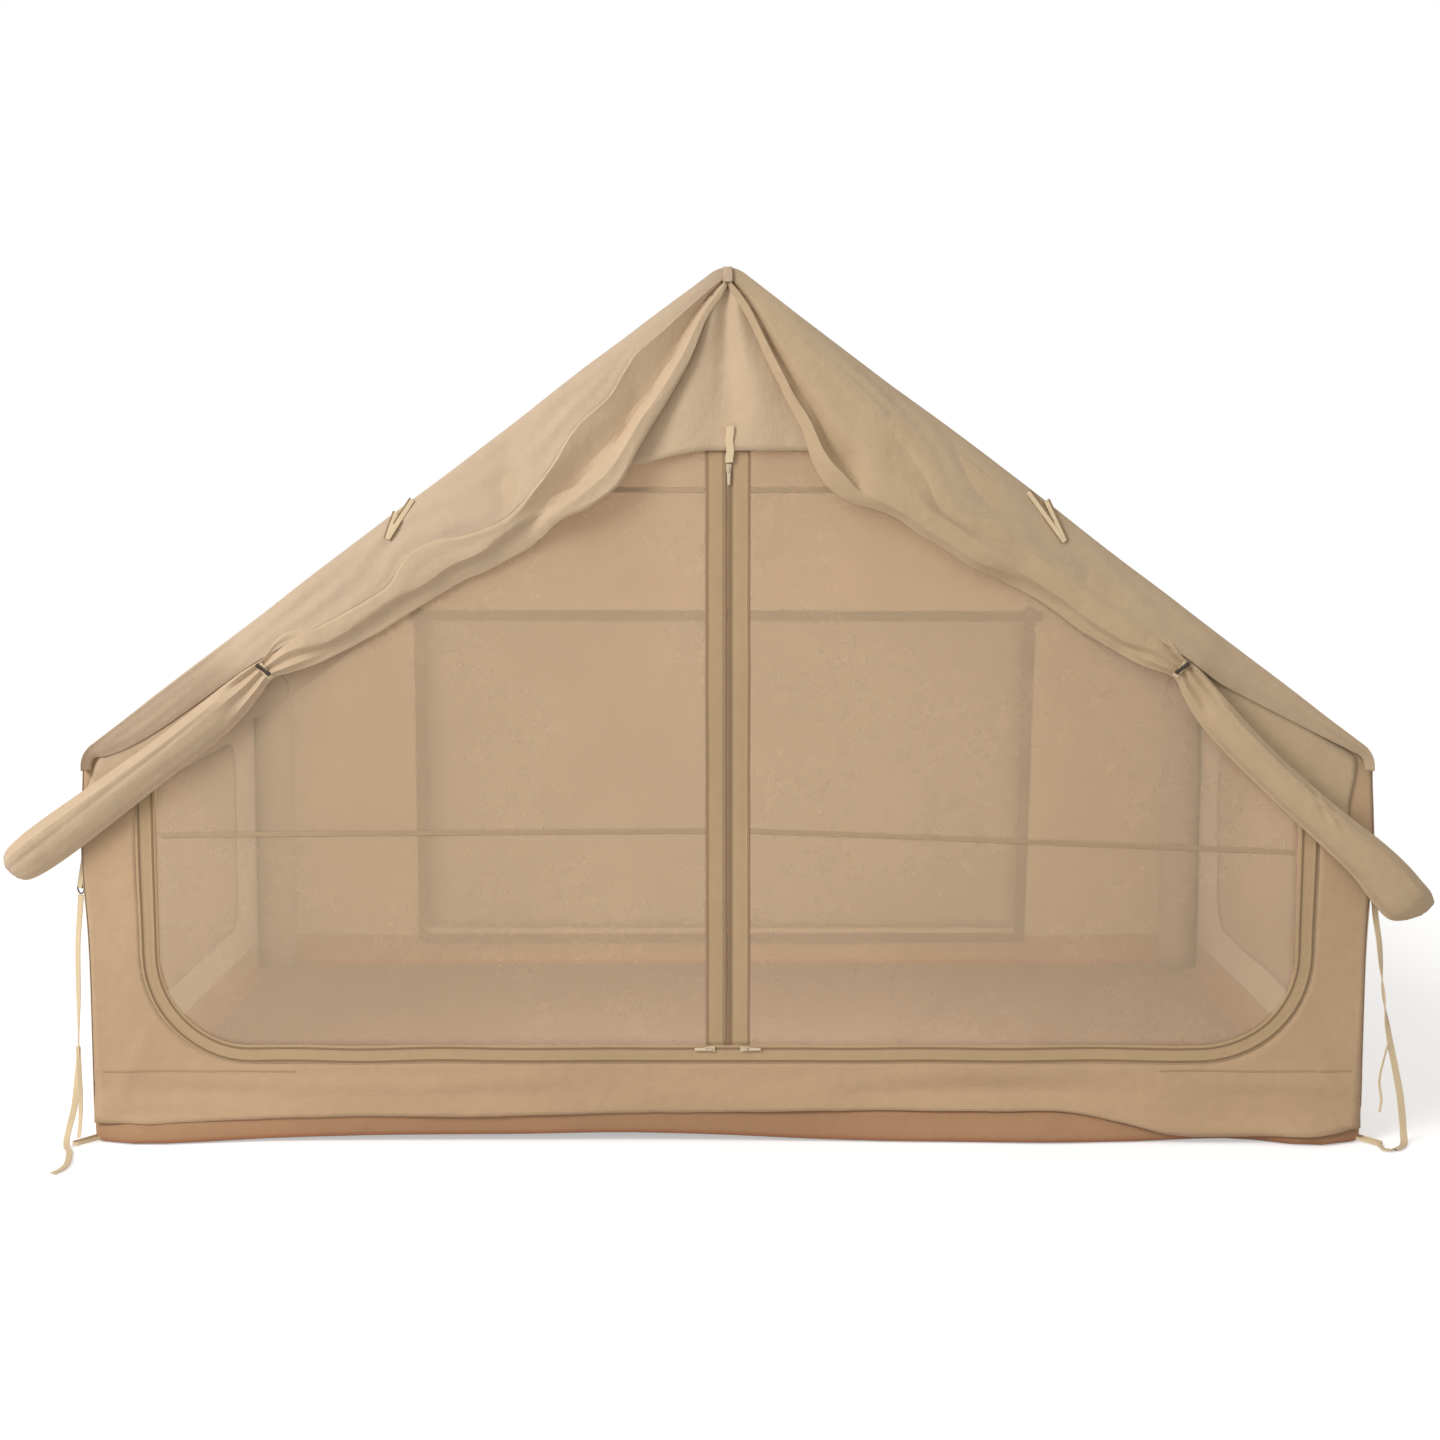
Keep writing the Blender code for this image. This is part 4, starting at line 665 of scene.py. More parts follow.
def curtain_section(side, s, top, bottom):
    """The front of a gathered door half: (share from upper to lower edge, share of the depth)."""
    _, tie, hems, folds = GATHERED[side]

    def share(table):
        return (table_value(table, s)[0] - top) / (bottom - top)

    hem = min(max(share(hems), 0.12), 0.66)
    fold = min(max(share(folds), hem + (0.10 if side < 0 else 0.30)), 0.93)
    if side < 0:
        strip = fold + 0.18 * (1 - fold)
        wide = fold + 0.50 * (1 - fold)
        upper = [(0, 0.50), (hem - 0.04, 0.80), (hem + 0.02, 0.98), (fold, 0.22), (strip, 0.62), (wide, 0.96),
                 (1, 0.86)]
        lower = [(0, 0.50), (hem - 0.04, 0.74), (hem + 0.03, 0.82), (fold - 0.07, 0.70), (fold, 0.26),
                 (wide, 0.20), (1, 0.14)]
        turn = smooth(0.33, 0.40, s)
        rolled = [(0, 0.30), (0.07, 0.66), (0.24, 0.98), (0.40, 0.94), (0.66, 0.80), (0.90, 0.56), (1, 0.30)]
    else:
        strip = fold + 0.20 * (1 - fold)
        upper = [(0, 0.55), (hem - 0.04, 0.80), (hem + 0.03, 0.85), (fold - 0.24, 0.86), (fold, 0.20),
                 (strip, 0.96), (1, 0.70)]
        flat = [(0, 0.55), (hem - 0.04, 0.80), (hem + 0.04, 0.72), (fold - 0.20, 0.90), (fold, 0.82),
                (strip, 0.74), (1, 0.55)]
        upper = mixed(upper, flat, smooth(0.255, 0.31, s))
        lower = [(0, 0.50), (hem - 0.04, 0.74), (hem + 0.03, 0.80), (fold - 0.08, 0.68), (fold, 0.26),
                 (strip, 0.22), (1, 0.13)]
        turn = smooth(0.46, 0.53, s)
        rolled = [(0, 0.30), (0.06, 0.74), (0.20, 1.0), (0.31, 0.86), (0.62, 0.84), (0.90, 0.58), (1, 0.30)]
    apex = smooth(0.03, 0.12, s)
    section = [(a, 0.70 + (d - 0.70) * (0.7 + 0.3 * apex)) for a, d in mixed(upper, lower, turn)]
    section = mixed(section, rolled, smooth(tie + 0.01, tie + 0.075, s))
    pleats = [(0, 0.50), (0.10, 0.96), (0.27, 0.66), (0.46, 1.0), (0.64, 0.68), (0.86, 0.96), (1, 0.50)]
    return mixed(section, pleats, smooth(tie - 0.085, tie - 0.012, s) * smooth(tie + 0.085, tie + 0.012, s))


def section_depth(section, a):
    for (a0, d0), (a1, d1) in zip(section, section[1:]):
        if a <= a1:
            return d0 + (d1 - d0) * (a - a0) / max(a1 - a0, 1e-6)
    return section[-1][1]


def curtain_crumple(side, s, a, section, loose, roll):
    """Creases above the tie and wrinkles in the roll past it, as a share of the depth."""
    gathered = 0.050 * creased(s * 5.5 + a * 1.5, a * 2.6 - s * 3.0, side * 4.0) * loose
    wrapped = 0.030 * wobble(a * 4.0 + s * 3.0, s * 7.0, side * 9.0) * roll
    if side > 0:
        gathered *= 1.0 + 0.4 * smooth(0.3, 0.45, s)
        along = s - 0.1 * a
        wrapped += 0.055 * math.sin(along * 190) * bump(along, 0.96, 0.022) * smooth(0.8, 0.3, a)
    else:
        wrapped -= 0.035 * bump(a, 0.30 + 0.5 * (s - 0.8), 0.06) * smooth(0.82, 0.9, s)
    gathered *= smooth(section[2][0] - 0.02, section[2][0] + 0.14, a)
    return (gathered + wrapped) * (smooth(0.0, 0.12, a) * smooth(1.0, 0.93, a))


def curtain_row(side, s):
    """The pleated layers of a gathered door half at one place along the slope, from back to front."""
    shares, tie, _, _ = GATHERED[side]
    last = shares[-1][0]
    top, bottom, depth = table_value(shares, s)
    section = curtain_section(side, s, top, bottom)
    top, bottom, depth = (v * SLOPE_LENGTH for v in (top, bottom, depth))
    height = bottom - top
    roll = smooth(tie + 0.02, tie + 0.12, s)
    loose = smooth(0.1, 0.2, s) * smooth(tie, tie - 0.12, s)
    scallop = (0.0035 * creased(s * 13.0, side * 2.0) + 0.004 * wobble(s * 9.0, 5 + side)) * loose
    end = 1 - 0.22 * smooth(last - 0.03, last, s)
    rear = FRONT - CURTAIN_BACK - 0.0022 * bump(s, tie, 0.03)
    row = []

    def add(a, y, past=0.0):
        row.append(curtain_place(side, s * SLOPE_LENGTH, top + a * (height + scallop) + past, y))

    for layer in range(LAYERS):
        share = 0.04 + 0.96 * layer / (LAYERS - 1)
        following = 0.04 + 0.96 * min(layer + 1, LAYERS - 1) / (LAYERS - 1)
        down = layer % 2 == 0
        stagger = 0.045 * (wobble(layer * 3.7 + side, s * 4.0) + 0.3) * (1 - roll)
        low_a = 0.02 + 0.01 * layer
        if layer == 0:
            web = smooth(tie + 0.01, tie + 0.05, s) * smooth(1.03, 0.985, s)
            start = low_a + (min((0.018 * SLOPE_LENGTH - top) / height, low_a) - low_a) * web
            places = spread(start, 0.97 - stagger, 8)
        elif layer == LAYERS - 1:
            places = [a for (a0, _), (a1, _) in zip(section, section[1:]) for a in spread(a0, a1, 5)[:-1]]
            places = [low_a + (0.985 - low_a) * a for a in places + [section[-1][0]]]
        else:
            places = spread(low_a, 0.97 - stagger, 8)[::1 if down else -1]
        for a in places:
            value = section_depth(section, min(max(a, 0), 1))
            value += curtain_crumple(side, s, a, section, loose, roll) * share
            add(a, rear - share * depth * value * end)
        edge = places[-1]
        front = section_depth(section, min(max(edge, 0), 1)) * depth * end
        if layer == LAYERS - 1:
            for u, v in ((0.8, 0.20), (1.0, 0.55), (0.6, 0.9)):
                add(edge, rear - front * (1 - 0.42 * v), 0.006 * u * smooth(0.05, 0.2, s))
        else:
            middle = rear - front * (share + following) / 2
            reach = max(front * (following - share) / 2, 0.0012) * (1 if down else -1)
            for turn in (0.25, 0.5, 0.75):
                add(edge, middle + math.cos(math.pi * turn) * abs(reach), math.sin(math.pi * turn) * reach)
    return row


def make_curtains():
    """Each canvas door half is one cloth, pleated in layers, gathered to its tie and rolled past it."""
    for side, label in SIDES:
        shares, tie, _, _ = GATHERED[side]
        near_tie = [tie + d / 1000 for d in range(-26, 30, 3)]
        stations = sorted(set(spread(shares[0][0], shares[-1][0], 190) + near_tie))
        rows = [curtain_row(side, s) for s in stations]
        # The left door half wears the canvas painted lighter as painted light, the right half the darker copy
        # as painted shade
        cloth = FRONT_PAINTED_LIGHT if side < 0 else FRONT_PAINTED_SHADE
        curtain = grid_object(f"{label}_door_curtain_cloth", rows, [cloth])
        curtain.data.set_sharp_from_angle(angle=math.radians(38))
        solidify(curtain, SLACK_CLOTH)
        settle(curtain, "canvas", f"{label}_door_curtain")


def roof_section():
    """Points down the outer face of the left or right roof half, from the ridge to the wall seam."""
    lean = math.pi / 2 - SLOPE
    points = arc((0, RIDGE), COVER, math.pi / 2 - 0.005, lean, 6)
    eave = arc((POST_X, EAVE), COVER, lean, 0, 8)
    (ax, az), (bx, bz) = points[-1], eave[0]
    points += list(zip(spread(ax, bx, 96), spread(az, bz, 96)))[1:-1]
    return points + eave + [(HALF_WIDTH, EAVE - 0.005), (HALF_WIDTH, WALL_TOP)]


def hem_reach(side, s):
    return table_value(GATHERED[side][2], s)[0] * SLOPE_LENGTH


def hem_front(side, s, n):
    """Y of the roof's front hem at a distance n down from the roof edge: it lies on the gathered canvas."""
    reach = hem_reach(side, s)
    t = min(n / reach, 1.0)
    shares = GATHERED[side][0]
    at = max(s, shares[0][0])
    top, bottom, depth = table_value(shares, at)
    section = curtain_section(side, at, top, bottom)
    resting = section_depth(section, (reach / SLOPE_LENGTH - top) / (bottom - top))
    lying = CURTAIN_BACK + depth * SLOPE_LENGTH * resting + 0.0004 - ROOF_HEM
    cover = smooth(0.82, 0.74, s)
    least = 0.006 - 0.010 * smooth(0.14, 0.04, s)
    edge = max(lying, least) * cover + (-0.0215 if side < 0 else -0.0165) * (1 - cover)
    lead = min(0.0045, max(edge, 0.0))
    out = lead * smooth(0, 0.018, n) + (edge - lead) * t**0.9
    loose = smooth(0.12, 0.3, t) * smooth(1.0, 0.8, t) * smooth(0.13, 0.24, s) * (0.4 + 0.6 * cover)
    out += 0.0045 * creased(s * 6.5 - t * 0.7, t * 1.6 + s * 1.5, side * 6.0) * loose
    if side < 0:
        out -= 0.007 * bump(s - 0.06 * t, 0.335, 0.022) * loose
        out += 0.005 * bump(s + 0.05 * t, 0.50, 0.03) * loose
    else:
        out += 0.005 * bump(s - 0.08 * t, 0.43, 0.025) * loose
    return -(HALF_DEPTH + ROOF_HEM) - out


def make_roof():
    """Each roof half as one cloth, sagging a little between the beams, with its front hem turned down."""
    section = roof_section()
    ys = [-1.0780, -1.0700, -1.055, -1.035, -1.01, -0.98, -0.93]
    ys += spread(-0.88, 0.88, 28) + [0.93, 0.98, 1.01, 1.04, 1.065, 1.08]
    steps = (1.0, 0.985, 0.95, 0.88, 0.80, 0.72, 0.64, 0.56, 0.48, 0.40, 0.32, 0.24, 0.16, 0.10, 0.05)
    for side, label in SIDES:
        rows = []
        run = 0.0
        for i, (x, z) in enumerate(section):
            before = section[max(i - 1, 0)]
            after = section[min(i + 1, len(section) - 1)]
            run += math.hypot(x - before[0], z - before[1])
            tangent = Vector((after[0] - before[0], after[1] - before[1])).normalized()
            normal = Vector((-tangent.y, tangent.x))
            if normal.y < 0 or (normal.y < 0.05 and normal.x < 0):
                normal = -normal
            slope = smooth(0.06, 0.25, run) * smooth(1.84, 1.65, run)
            s = (x * math.cos(SLOPE) + (SHARP_RIDGE - z) * math.sin(SLOPE)) / SLOPE_LENGTH
            reach = hem_reach(side, s)
            places = [(hem_front(side, s, reach * t), -reach * t) for t in steps] + [(-1.0798, -0.0012)]
            for y in ys:
                v = (y + HALF_DEPTH) / (2 * HALF_DEPTH)
                sag = 0.015 * math.sin(math.pi * min(max(v, 0), 1)) ** 2 * slope
                ripple = 0.0034 * wobble(run * 1.4, y * 4.0, side * 3.0) * slope
                ripple += 0.0030 * wobble(run * 4.0, y * 1.7, side * 8.0) * slope
                ripple += 0.0016 * creased(run * 1.3 + y * 0.8, y * 1.9 - run * 0.5, side * 2.0) * slope
                near = 0.0016 * math.sin(y * 38.0 + side) * bump(run, 1.80, 0.06) * smooth(1.05, 0.9, abs(y))
                places.append((y, ripple + near - sag))
            rows.append([Vector((side * (x + normal.x * out), y, z + normal.y * out)) for y, out in places])
        # The right roof half wears the darker copy of the roof canvas as painted shade
        roof = grid_object(f"roof_{label}_canvas", rows, [ROOF_CANVAS if side < 0 else ROOF_PAINTED_SHADE])
        finish(roof, (side * 0.6, 0, 0.8), SLACK_CLOTH, "canvas", f"roof_{label}", offset=-1.0)
    for side, label in SIDES:
        x = side * (HALF_WIDTH + 0.0012)
        eave = [Vector((x, y, WALL_TOP + 0.006)) for y in spread(-1.045, 1.045, 60)]
        settle(ribbon(f"{label}_eave_seam", eave, (0, 0, 1), 0.014, 0.0014, ROOF_CANVAS), "canvas")
    ridge = [Vector(p) for p in ((0, -1.0835, 2.008), (0, -1.0842, 2.024), (0, -1.0830, 2.036))]
    ridge += [Vector((0, y, RIDGE_TOP + 0.0009 + 0.0004 * wobble(i * 0.7, 2)))
              for i, y in enumerate(spread(-1.079, 1.079, 60))]
    settle(ribbon("ridge_seam", ridge, (1, 0, 0), 0.022, 0.0016, ROOF_CANVAS), "canvas")


def side_relief(side, y, z):
    """Side walls bow out with slack folds that lean to the corners, and lie flat at the cover's seam."""
    inside = smooth(1.05, 0.95, abs(y)) * smooth(0.085, 0.16, z)
    inside *= smooth(0.765, 0.62, z) + smooth(0.79, 0.83, z) * smooth(0.875, 0.84, z)
    folds = 0.0060 * wobble(y * 3.5 + z, z * 1.3, 3.3 * side) + 0.0020 * math.sin(9 * y + 5 * z + side)
    folds += 0.0022 * creased(y * 2.1 - z * 1.5, z * 2.2 + y * 0.7, side * 5.0)
    return inside * (folds + 0.003) + corner_push(y, z)


def side_point(side, out=0.0):
    return lambda y, z: Vector((side * (HALF_WIDTH + side_relief(side, y, z) + out), y, z))


def rear_relief(x, z):
    """The rear wall is slack in long soft folds, and lies flat at the cover's seam."""
    inside = smooth(1.49, 1.38, abs(x)) * smooth(0.085, 0.16, z) * smooth(0.02, 0.15, roof_line(x) - z)
    inside *= smooth(1.095, 0.95, z) + smooth(1.19, 1.30, z)
    folds = 0.0070 * wobble(x * 1.9 - z * 0.6, z * 1.4, 12.0) + 0.002 * math.sin(5 * x + 2 * z)
    return inside * (folds + 0.0024 * creased(x * 1.6 + z * 0.9, z * 1.7 - x * 0.6, 7.0))


def rear_point(out=0.0):
    return lambda x, z: Vector((x, HALF_DEPTH + rear_relief(x, z) + out, z))


def filled_panel(name, outline, place, material):
    """Cloth inside an outline: rings shrink from it to its middle."""
    u, v = (sum(values) / len(outline) for values in zip(*outline))
    rings = 14
    spokes = [(a, ray_length(outline, (u, v), a)) for a in fan_angles((u, v), outline, 120)]
    points = []
    for k in range(rings):
        share = 1 - k / rings
        points += [place(u + r * share * math.cos(a), v + r * share * math.sin(a)) for a, r in spokes]
    count = len(spokes)
    first = (rings - 1) * count
    faces = grid_faces(rings, count, wrap=True)
    faces += [(first + j, first + (j + 1) % count, rings * count) for j in range(count)]
    return make_mesh(name, points + [place(u, v)], faces, [material])


def sew_binding(name, outline, place, outward, body):
    """A flat binding sewn along a closed outline."""
    path = []
    for (u, z), (u2, z2) in zip(outline, outline[1:] + outline[:1]):
        pieces = max(1, round(math.hypot(u2 - u, z2 - z) / 0.03))
        path += [place(u + (u2 - u) * k / pieces, z + (z2 - z) * k / pieces) for k in range(pieces)]
    kept = [p for i, p in enumerate(path) if i == 0 or (p - path[i - 1]).length > 1e-5]

    def across(i, share):
        return Vector(outward).cross(kept[(i + 1) % len(kept)] - kept[i - 1])

    settle(ribbon(name, kept, across, 0.016, 0.0014, BINDING, closed=True), "zip_tape", body=body)


def make_wall(label, outlines, outer, middle, at, outward, cloths):
    """A wall with its window: net inside, a bound canvas cover outside. at(out) places its points."""
    hole, net, flap, binding = outlines
    canvas, mesh = cloths
    wall = framed_patch(f"{label}_wall_canvas", hole, outer, middle, at(-0.0008), canvas)
    finish(wall, outward, WALL_CLOTH, "canvas", f"{label}_wall")
    made = filled_panel(f"{label}_window_net", net, at(-0.0045), mesh)
    finish(made, outward, THIN_CLOTH, "mosquito_mesh", f"{label}_window_mesh")
    cover = filled_panel(f"{label}_window_cover_canvas", flap, at(0.0024), canvas)
    finish(cover, outward, WALL_CLOTH, "canvas", f"{label}_window_flap", body=f"{label}_window_cover")
    sew_binding(f"{label}_window_binding", binding, at(0.0040), outward, f"{label}_window_cover")


def window_outlines(half, low, high):
    """Outlines of a window's hole, its net, its cover and the binding sewn near the cover's edge."""
    return [rounded_rectangle((-half - lap, low - lap), (half + lap, high + lap), WINDOW_CORNER + lap)
            for lap in WINDOW_LAPS]


def make_walls():
    """Side and rear walls, and the dark tapes round the rear window's net."""
    low = TUB + 0.0003
    outer = [(HALF_DEPTH, low), (HALF_DEPTH, WALL_TOP), (-HALF_DEPTH, WALL_TOP), (-HALF_DEPTH, low)]
    outlines = window_outlines(0.66, 0.21, 0.75)
    for side, label in SIDES:
        make_wall(label, outlines, outer, (0, 0.48), lambda out: side_point(side, out), (side, 0, 0),
                  (ROOF_CANVAS, SIDE_MESH))
    outer = house_outline(low)
    outlines = window_outlines(0.95, 0.13, 1.10)
    outlines[1] = rounded_rectangle((-0.965, 0.115), (0.950, 1.130), 0.02)
    make_wall("rear", outlines, outer, (0, 0.75), rear_point, (0, 1, 0), (CANVAS, WINDOW_MESH))
    for name, first, last, across in (
            ("top", (-1.010, 1.122), (1.000, 1.118), (0, 0, 1)),
            ("left", (-0.980, 1.145), (-0.978, 0.070), (1, 0, 0)),
            ("right", (0.962, 1.145), (0.938, 0.070), (1, 0, 0)),
            ("low", (-0.978, 0.080), (0.938, 0.082), (0, 0, 1))):
        path = [Vector((x, HALF_DEPTH + rear_relief(x, z) - 0.0075, z))
                for x, z in zip(spread(first[0], last[0], 40), spread(first[1], last[1], 40))]
        settle(ribbon(f"rear_{name}_tape", path, across, 0.032, 0.0014, REAR_TAPE), "zip_tape")


def make_front():
    """The front wall round the door, its seams, the zip band and the gable panel."""
    outer = house_outline(hem_edge(HALF_WIDTH - 0.0033))
    outer[-1] = (outer[-1][0], hem_edge(outer[-1][0]))
    outer += [(x, hem_edge(x)) for x in spread(-1.49, 1.49, 120)]
    inner = door_edge(0.0) + [(0.0, strip_line(0))]
    wall = framed_patch("front_wall_canvas", inner, outer, (0, 0.78),
                        lambda x, z: front_point(x, z, -0.0008), CANVAS, steps=360)
    finish(wall, (0, -1, 0), WALL_CLOTH, "canvas", "front_wall")
    make_header()
    # Across the zip band from its outer edge: distance in and height, with a coil in each hollow; the inner
    # coil's colour also covers the slopes beside it as painted shade
    ribs = ((0.0, 0.0), (0.002, 0.0008), (0.0045, 0.0010), (0.0052, 0.0022), (0.0072, 0.0027),
            (0.0092, 0.0022), (0.0099, 0.0010), (0.016, 0.0008), (0.022, 0.0004), (0.027, -0.0004),
            (0.0325, -0.0008), (0.0338, -0.0004), (0.0345, 0.0), (0.0365, 0.0003), (0.0385, 0.0),
            (0.0392, -0.0008), (0.042, -0.0012), (0.0449, -0.0014))
    edges = [[(x, z, height) for x, z in door_edge(inset)] for inset, height in ribs]
    rows = [[front_point(x, z + sill_sway(x, z), height) for x, z, height in spots] for spots in zip(*edges)]
    # Faces 2 to 5 and 12 to 13 are coil; faces 11 and 14 carry the coil's colour as painted shade
    stripes = [1 if j in (2, 3, 4, 5, 11, 12, 13, 14) else 0 for j in range(len(ribs) - 1)]
    band = grid_object("door_zip", rows, [TAPE, COIL], stripes=stripes)
    finish(band, (0, -1, 0), BAND_TAPE, "zip_tape", "door_zip_band", offset=-1.0)
    for name, start, end in (("sill_seam_left", -1.475, -1.02), ("sill_seam_right", 1.02, 1.475)):
        path = [front_point(x, 0.172 + 0.003 * wobble(x * 5, 4), 0.0006) for x in spread(start, end, 40)]
        settle(ribbon(name, path, (0, 0, 1), 0.0040, 0.0012, SEAM), "canvas")


def sill_sway(x, z):
    """The zips along the sill run in a slightly wavy line."""
    low = smooth(0.30, 0.24, z) * smooth(0.16, 0.30, abs(x)) * smooth(1.38, 1.2, abs(x))
    return low * (0.0022 * wobble(x * 5.0, 7.0) + 0.0012 * math.sin(17 * x))


def header_relief(x, z):
    """Soft upright folds in the gable panel, which fan out below the ridge."""
    fan = 0.30 + 0.70 * smooth(1.98, 1.66, z)
    calm = 0.45 + 0.55 * smooth(1.62, 1.74, z)
    out = 0.010 * bump(x, -0.105 * fan, 0.050 * fan) - 0.008 * bump(x, -0.005, 0.032 * fan)
    out += 0.009 * bump(x, 0.075 * fan, 0.042 * fan) - 0.004 * bump(x, 0.20 * fan, 0.04)
    return (out + 0.003 * wobble(x * 9, z * 4, 2.0)) * calm


def make_header():
    """The fixed gable panel: it hangs free at its lower edge over the top of the mesh."""
    top = roof_line(0) - 0.054
    rows = []
    for t in spread(0, 1, 24):
        row = []
        for u in spread(-1, 1, 40):
            base = HEADER_BOTTOM + 0.018 - 0.060 * smooth(0.1, 0.75, -u) - 0.012 * smooth(0.4, 0.9, u)
            half = (strip_line(0) - base) / math.tan(SLOPE) + 0.014
            x = u * half * (1 - t) + u * 0.022 * t
            z = min(base + (top - base) * t, roof_line(x) - 0.052)
            out = 0.009 + header_relief(x, z) + 0.010 * smooth(1.86, 1.97, z)
            row.append(Vector((x, FRONT - max(out, 0.0014), z)))
        rows.append(row)
    # The gable panel wears the canvas painted lighter as painted light
    header = grid_object("front_header_canvas", rows, [FRONT_PAINTED_LIGHT])
    finish(header, (0, -1, 0), HEAVY_CLOTH, "canvas", "front_header")
    path = [Vector((0.005 + 0.0015 * math.sin(i), FRONT - 0.0135 + 0.006 * i / 12, 1.684 - 0.083 * i / 12))
            for i in range(13)]
    bend = {"start": (0, FRONT, 1.640), "end": (0, FRONT, 1.606)}
    bend_along(ribbon("zip_ribbon", path, (1, 0, 0), 0.018, 0.0022, WEBBING), "webbing", "right", bend)


def fold_ends():
    inset = BAND + 0.0003
    radius = DOOR_CORNER - inset
    centre = (radius - DOOR_HALF + inset, DOOR_BOTTOM + inset + radius)
    corner = arc(centre, radius, 1.25 * math.pi, 1.5 * math.pi, 1)[0]
    length = math.hypot(corner[0], HEADER_BOTTOM - corner[1])
    return (HEADER_BOTTOM - corner[1]) / length, corner[0] / length


def make_mesh_doors():
    """Each side of the mesh front is one cloth, with its zip and tapes."""
    inset = BAND + 0.0006
    half = DOOR_HALF - inset
    bottom = DOOR_BOTTOM + inset
    radius = DOOR_CORNER - inset
    nx, nz = fold_ends()

    def low_edge(x):
        over = x - (half - radius)
        return bottom + radius - math.sqrt(max(radius**2 - over**2, 0)) if over > 0 else bottom

    def high_edge(x):
        return min(HEADER_BOTTOM + 0.034, strip_line(x) + 0.012)

    xs = spread(0.0075, half - 0.0006, 72)
    for side, label in SIDES:
        normal = Vector((-side * nx, 0, nz))
        crease = Vector((0, FRONT, HEADER_BOTTOM))
        bend = {"start": crease - normal * 0.045, "end": crease + normal * 0.003}
        rows = [[Vector((side * x, FRONT + 0.0016 - mesh_relief(side * x, z), z))
                 for z in spread(low_edge(x), high_edge(x), 60)] for x in xs]
        net = grid_object(f"{label}_mesh_door", rows, [MESH])
        face_out(net, (0, -1, 0))
        solidify(net, DOOR_NET)
        bend_along(net, "mosquito_mesh", label, bend, f"{label}_fixed_mesh", f"{label}_mesh_flap")
        make_centre_zip(side, label, bend)
        for name, z0, z1, high_x in (("upper_tape", 1.538, 1.538, 0.42),
                                     ("lower_tape", 0.745, 0.715 - 0.02 * side, 1.325)):
            points = [Vector((side * x, FRONT + 0.0001 - mesh_relief(side * x, z), z))
                      for x, z in zip(spread(0.053, high_x, 60), spread(z0, z1, 60))]
            tape = ribbon(f"{label}_{name}", points, (0, 0, 1), 0.011, 0.0012, MESH_TAPE)
            bend_along(tape, "zip_tape", label, bend)


def make_centre_zip(side, label, bend):
    """One side of the centre zip: half a coil whose dark colour runs wide as partly painted shade, a lane in
    the binding's colour as painted shade, its tape and a bound edge.
    """
    profile = ((0.0003, 0.0), (0.0010, 0.0009), (0.0035, 0.0013), (0.0060, 0.0009), (0.0070, 0.0002),
               (0.0125, 0.0), (0.018, 0.0006), (0.030, 0.0003), (0.040, 0.0006), (0.0450, 0.0002),
               (0.0460, 0.0010), (0.0490, 0.0012), (0.0515, 0.0009), (0.052, 0.0))
    rows = []
    for z in spread(DOOR_BOTTOM + BAND + 0.0006, HEADER_BOTTOM + 0.024, 120):
        sway = 0.0012 * wobble(z * 5, 3, side)
        rows.append([Vector((side * (x + sway * smooth(0.006, 0.03, x)), FRONT + 0.0010 - h, z))
                     for x, h in profile])
    # Faces 0 to 3 are coil, partly painted shade; face 4 takes the binding's colour as painted shade between
    # the tapes; faces 9 to 12 are the bound edge
    stripes = [1 if j < 4 else (2 if j == 4 or 9 <= j <= 12 else 0) for j in range(len(profile) - 1)]
    zipper = grid_object(f"{label}_centre_zip_tape", rows, [TAPE, COIL, BINDING], stripes=stripes)
    face_out(zipper, (0, -1, 0))
    solidify(zipper, CENTRE_TAPE, -1.0)
    bend_along(zipper, "zip_tape", label, bend, f"{label}_centre_zip")


def tub_forward(x):
    return table_value(TUB_FORWARD, x)[0]


def tub_lift(x):
    return max(table_value(TUB_LIFT, x)[0], 0.0)


def tub_ring(inset, z):
    """The tub's rim at one height, with rounded corners and a belly along the front."""
    x_half, y_half = HALF_WIDTH - inset, HALF_DEPTH - inset
    r = 0.012
    x, y = x_half - r, y_half - r
    turns = [arc(corner, r, start * math.pi / 2, (start + 1) * math.pi / 2, 3)
             for corner, start in (((x, -y), -1), ((x, y), 0), ((-x, y), 1), ((-x, -y), 2))]
    points = []
    for n, turn in enumerate(turns):
        (px, py), (nx, ny) = turn[-1], turns[(n + 1) % 4][0]
        steps = 40 if n in (1, 3) else 28
        points += turn + list(zip(spread(px, nx, steps), spread(py, ny, steps)))[1:-1]
    made = []
    for x, y in points:
        lift = 0.0
        if y < -y_half + 0.002:
            low = smooth(0.080, 0.012, z)
            y -= tub_forward(x) * low * smooth(0.10, 0.0, inset)
            y -= 0.003 * wobble(x * 6, z * 9, 6) * smooth(1.5, 1.4, abs(x)) * smooth(0.02, 0.0, inset) * low
            lift = tub_lift(x) * low * smooth(0.32, 0.0, inset)
        elif y > 0:
            y += 0.002 * wobble(x * 5, y * 5, z * 20) * smooth(0.02, 0.0, inset)
        made.append(Vector((x, y, z + lift)))
    return made


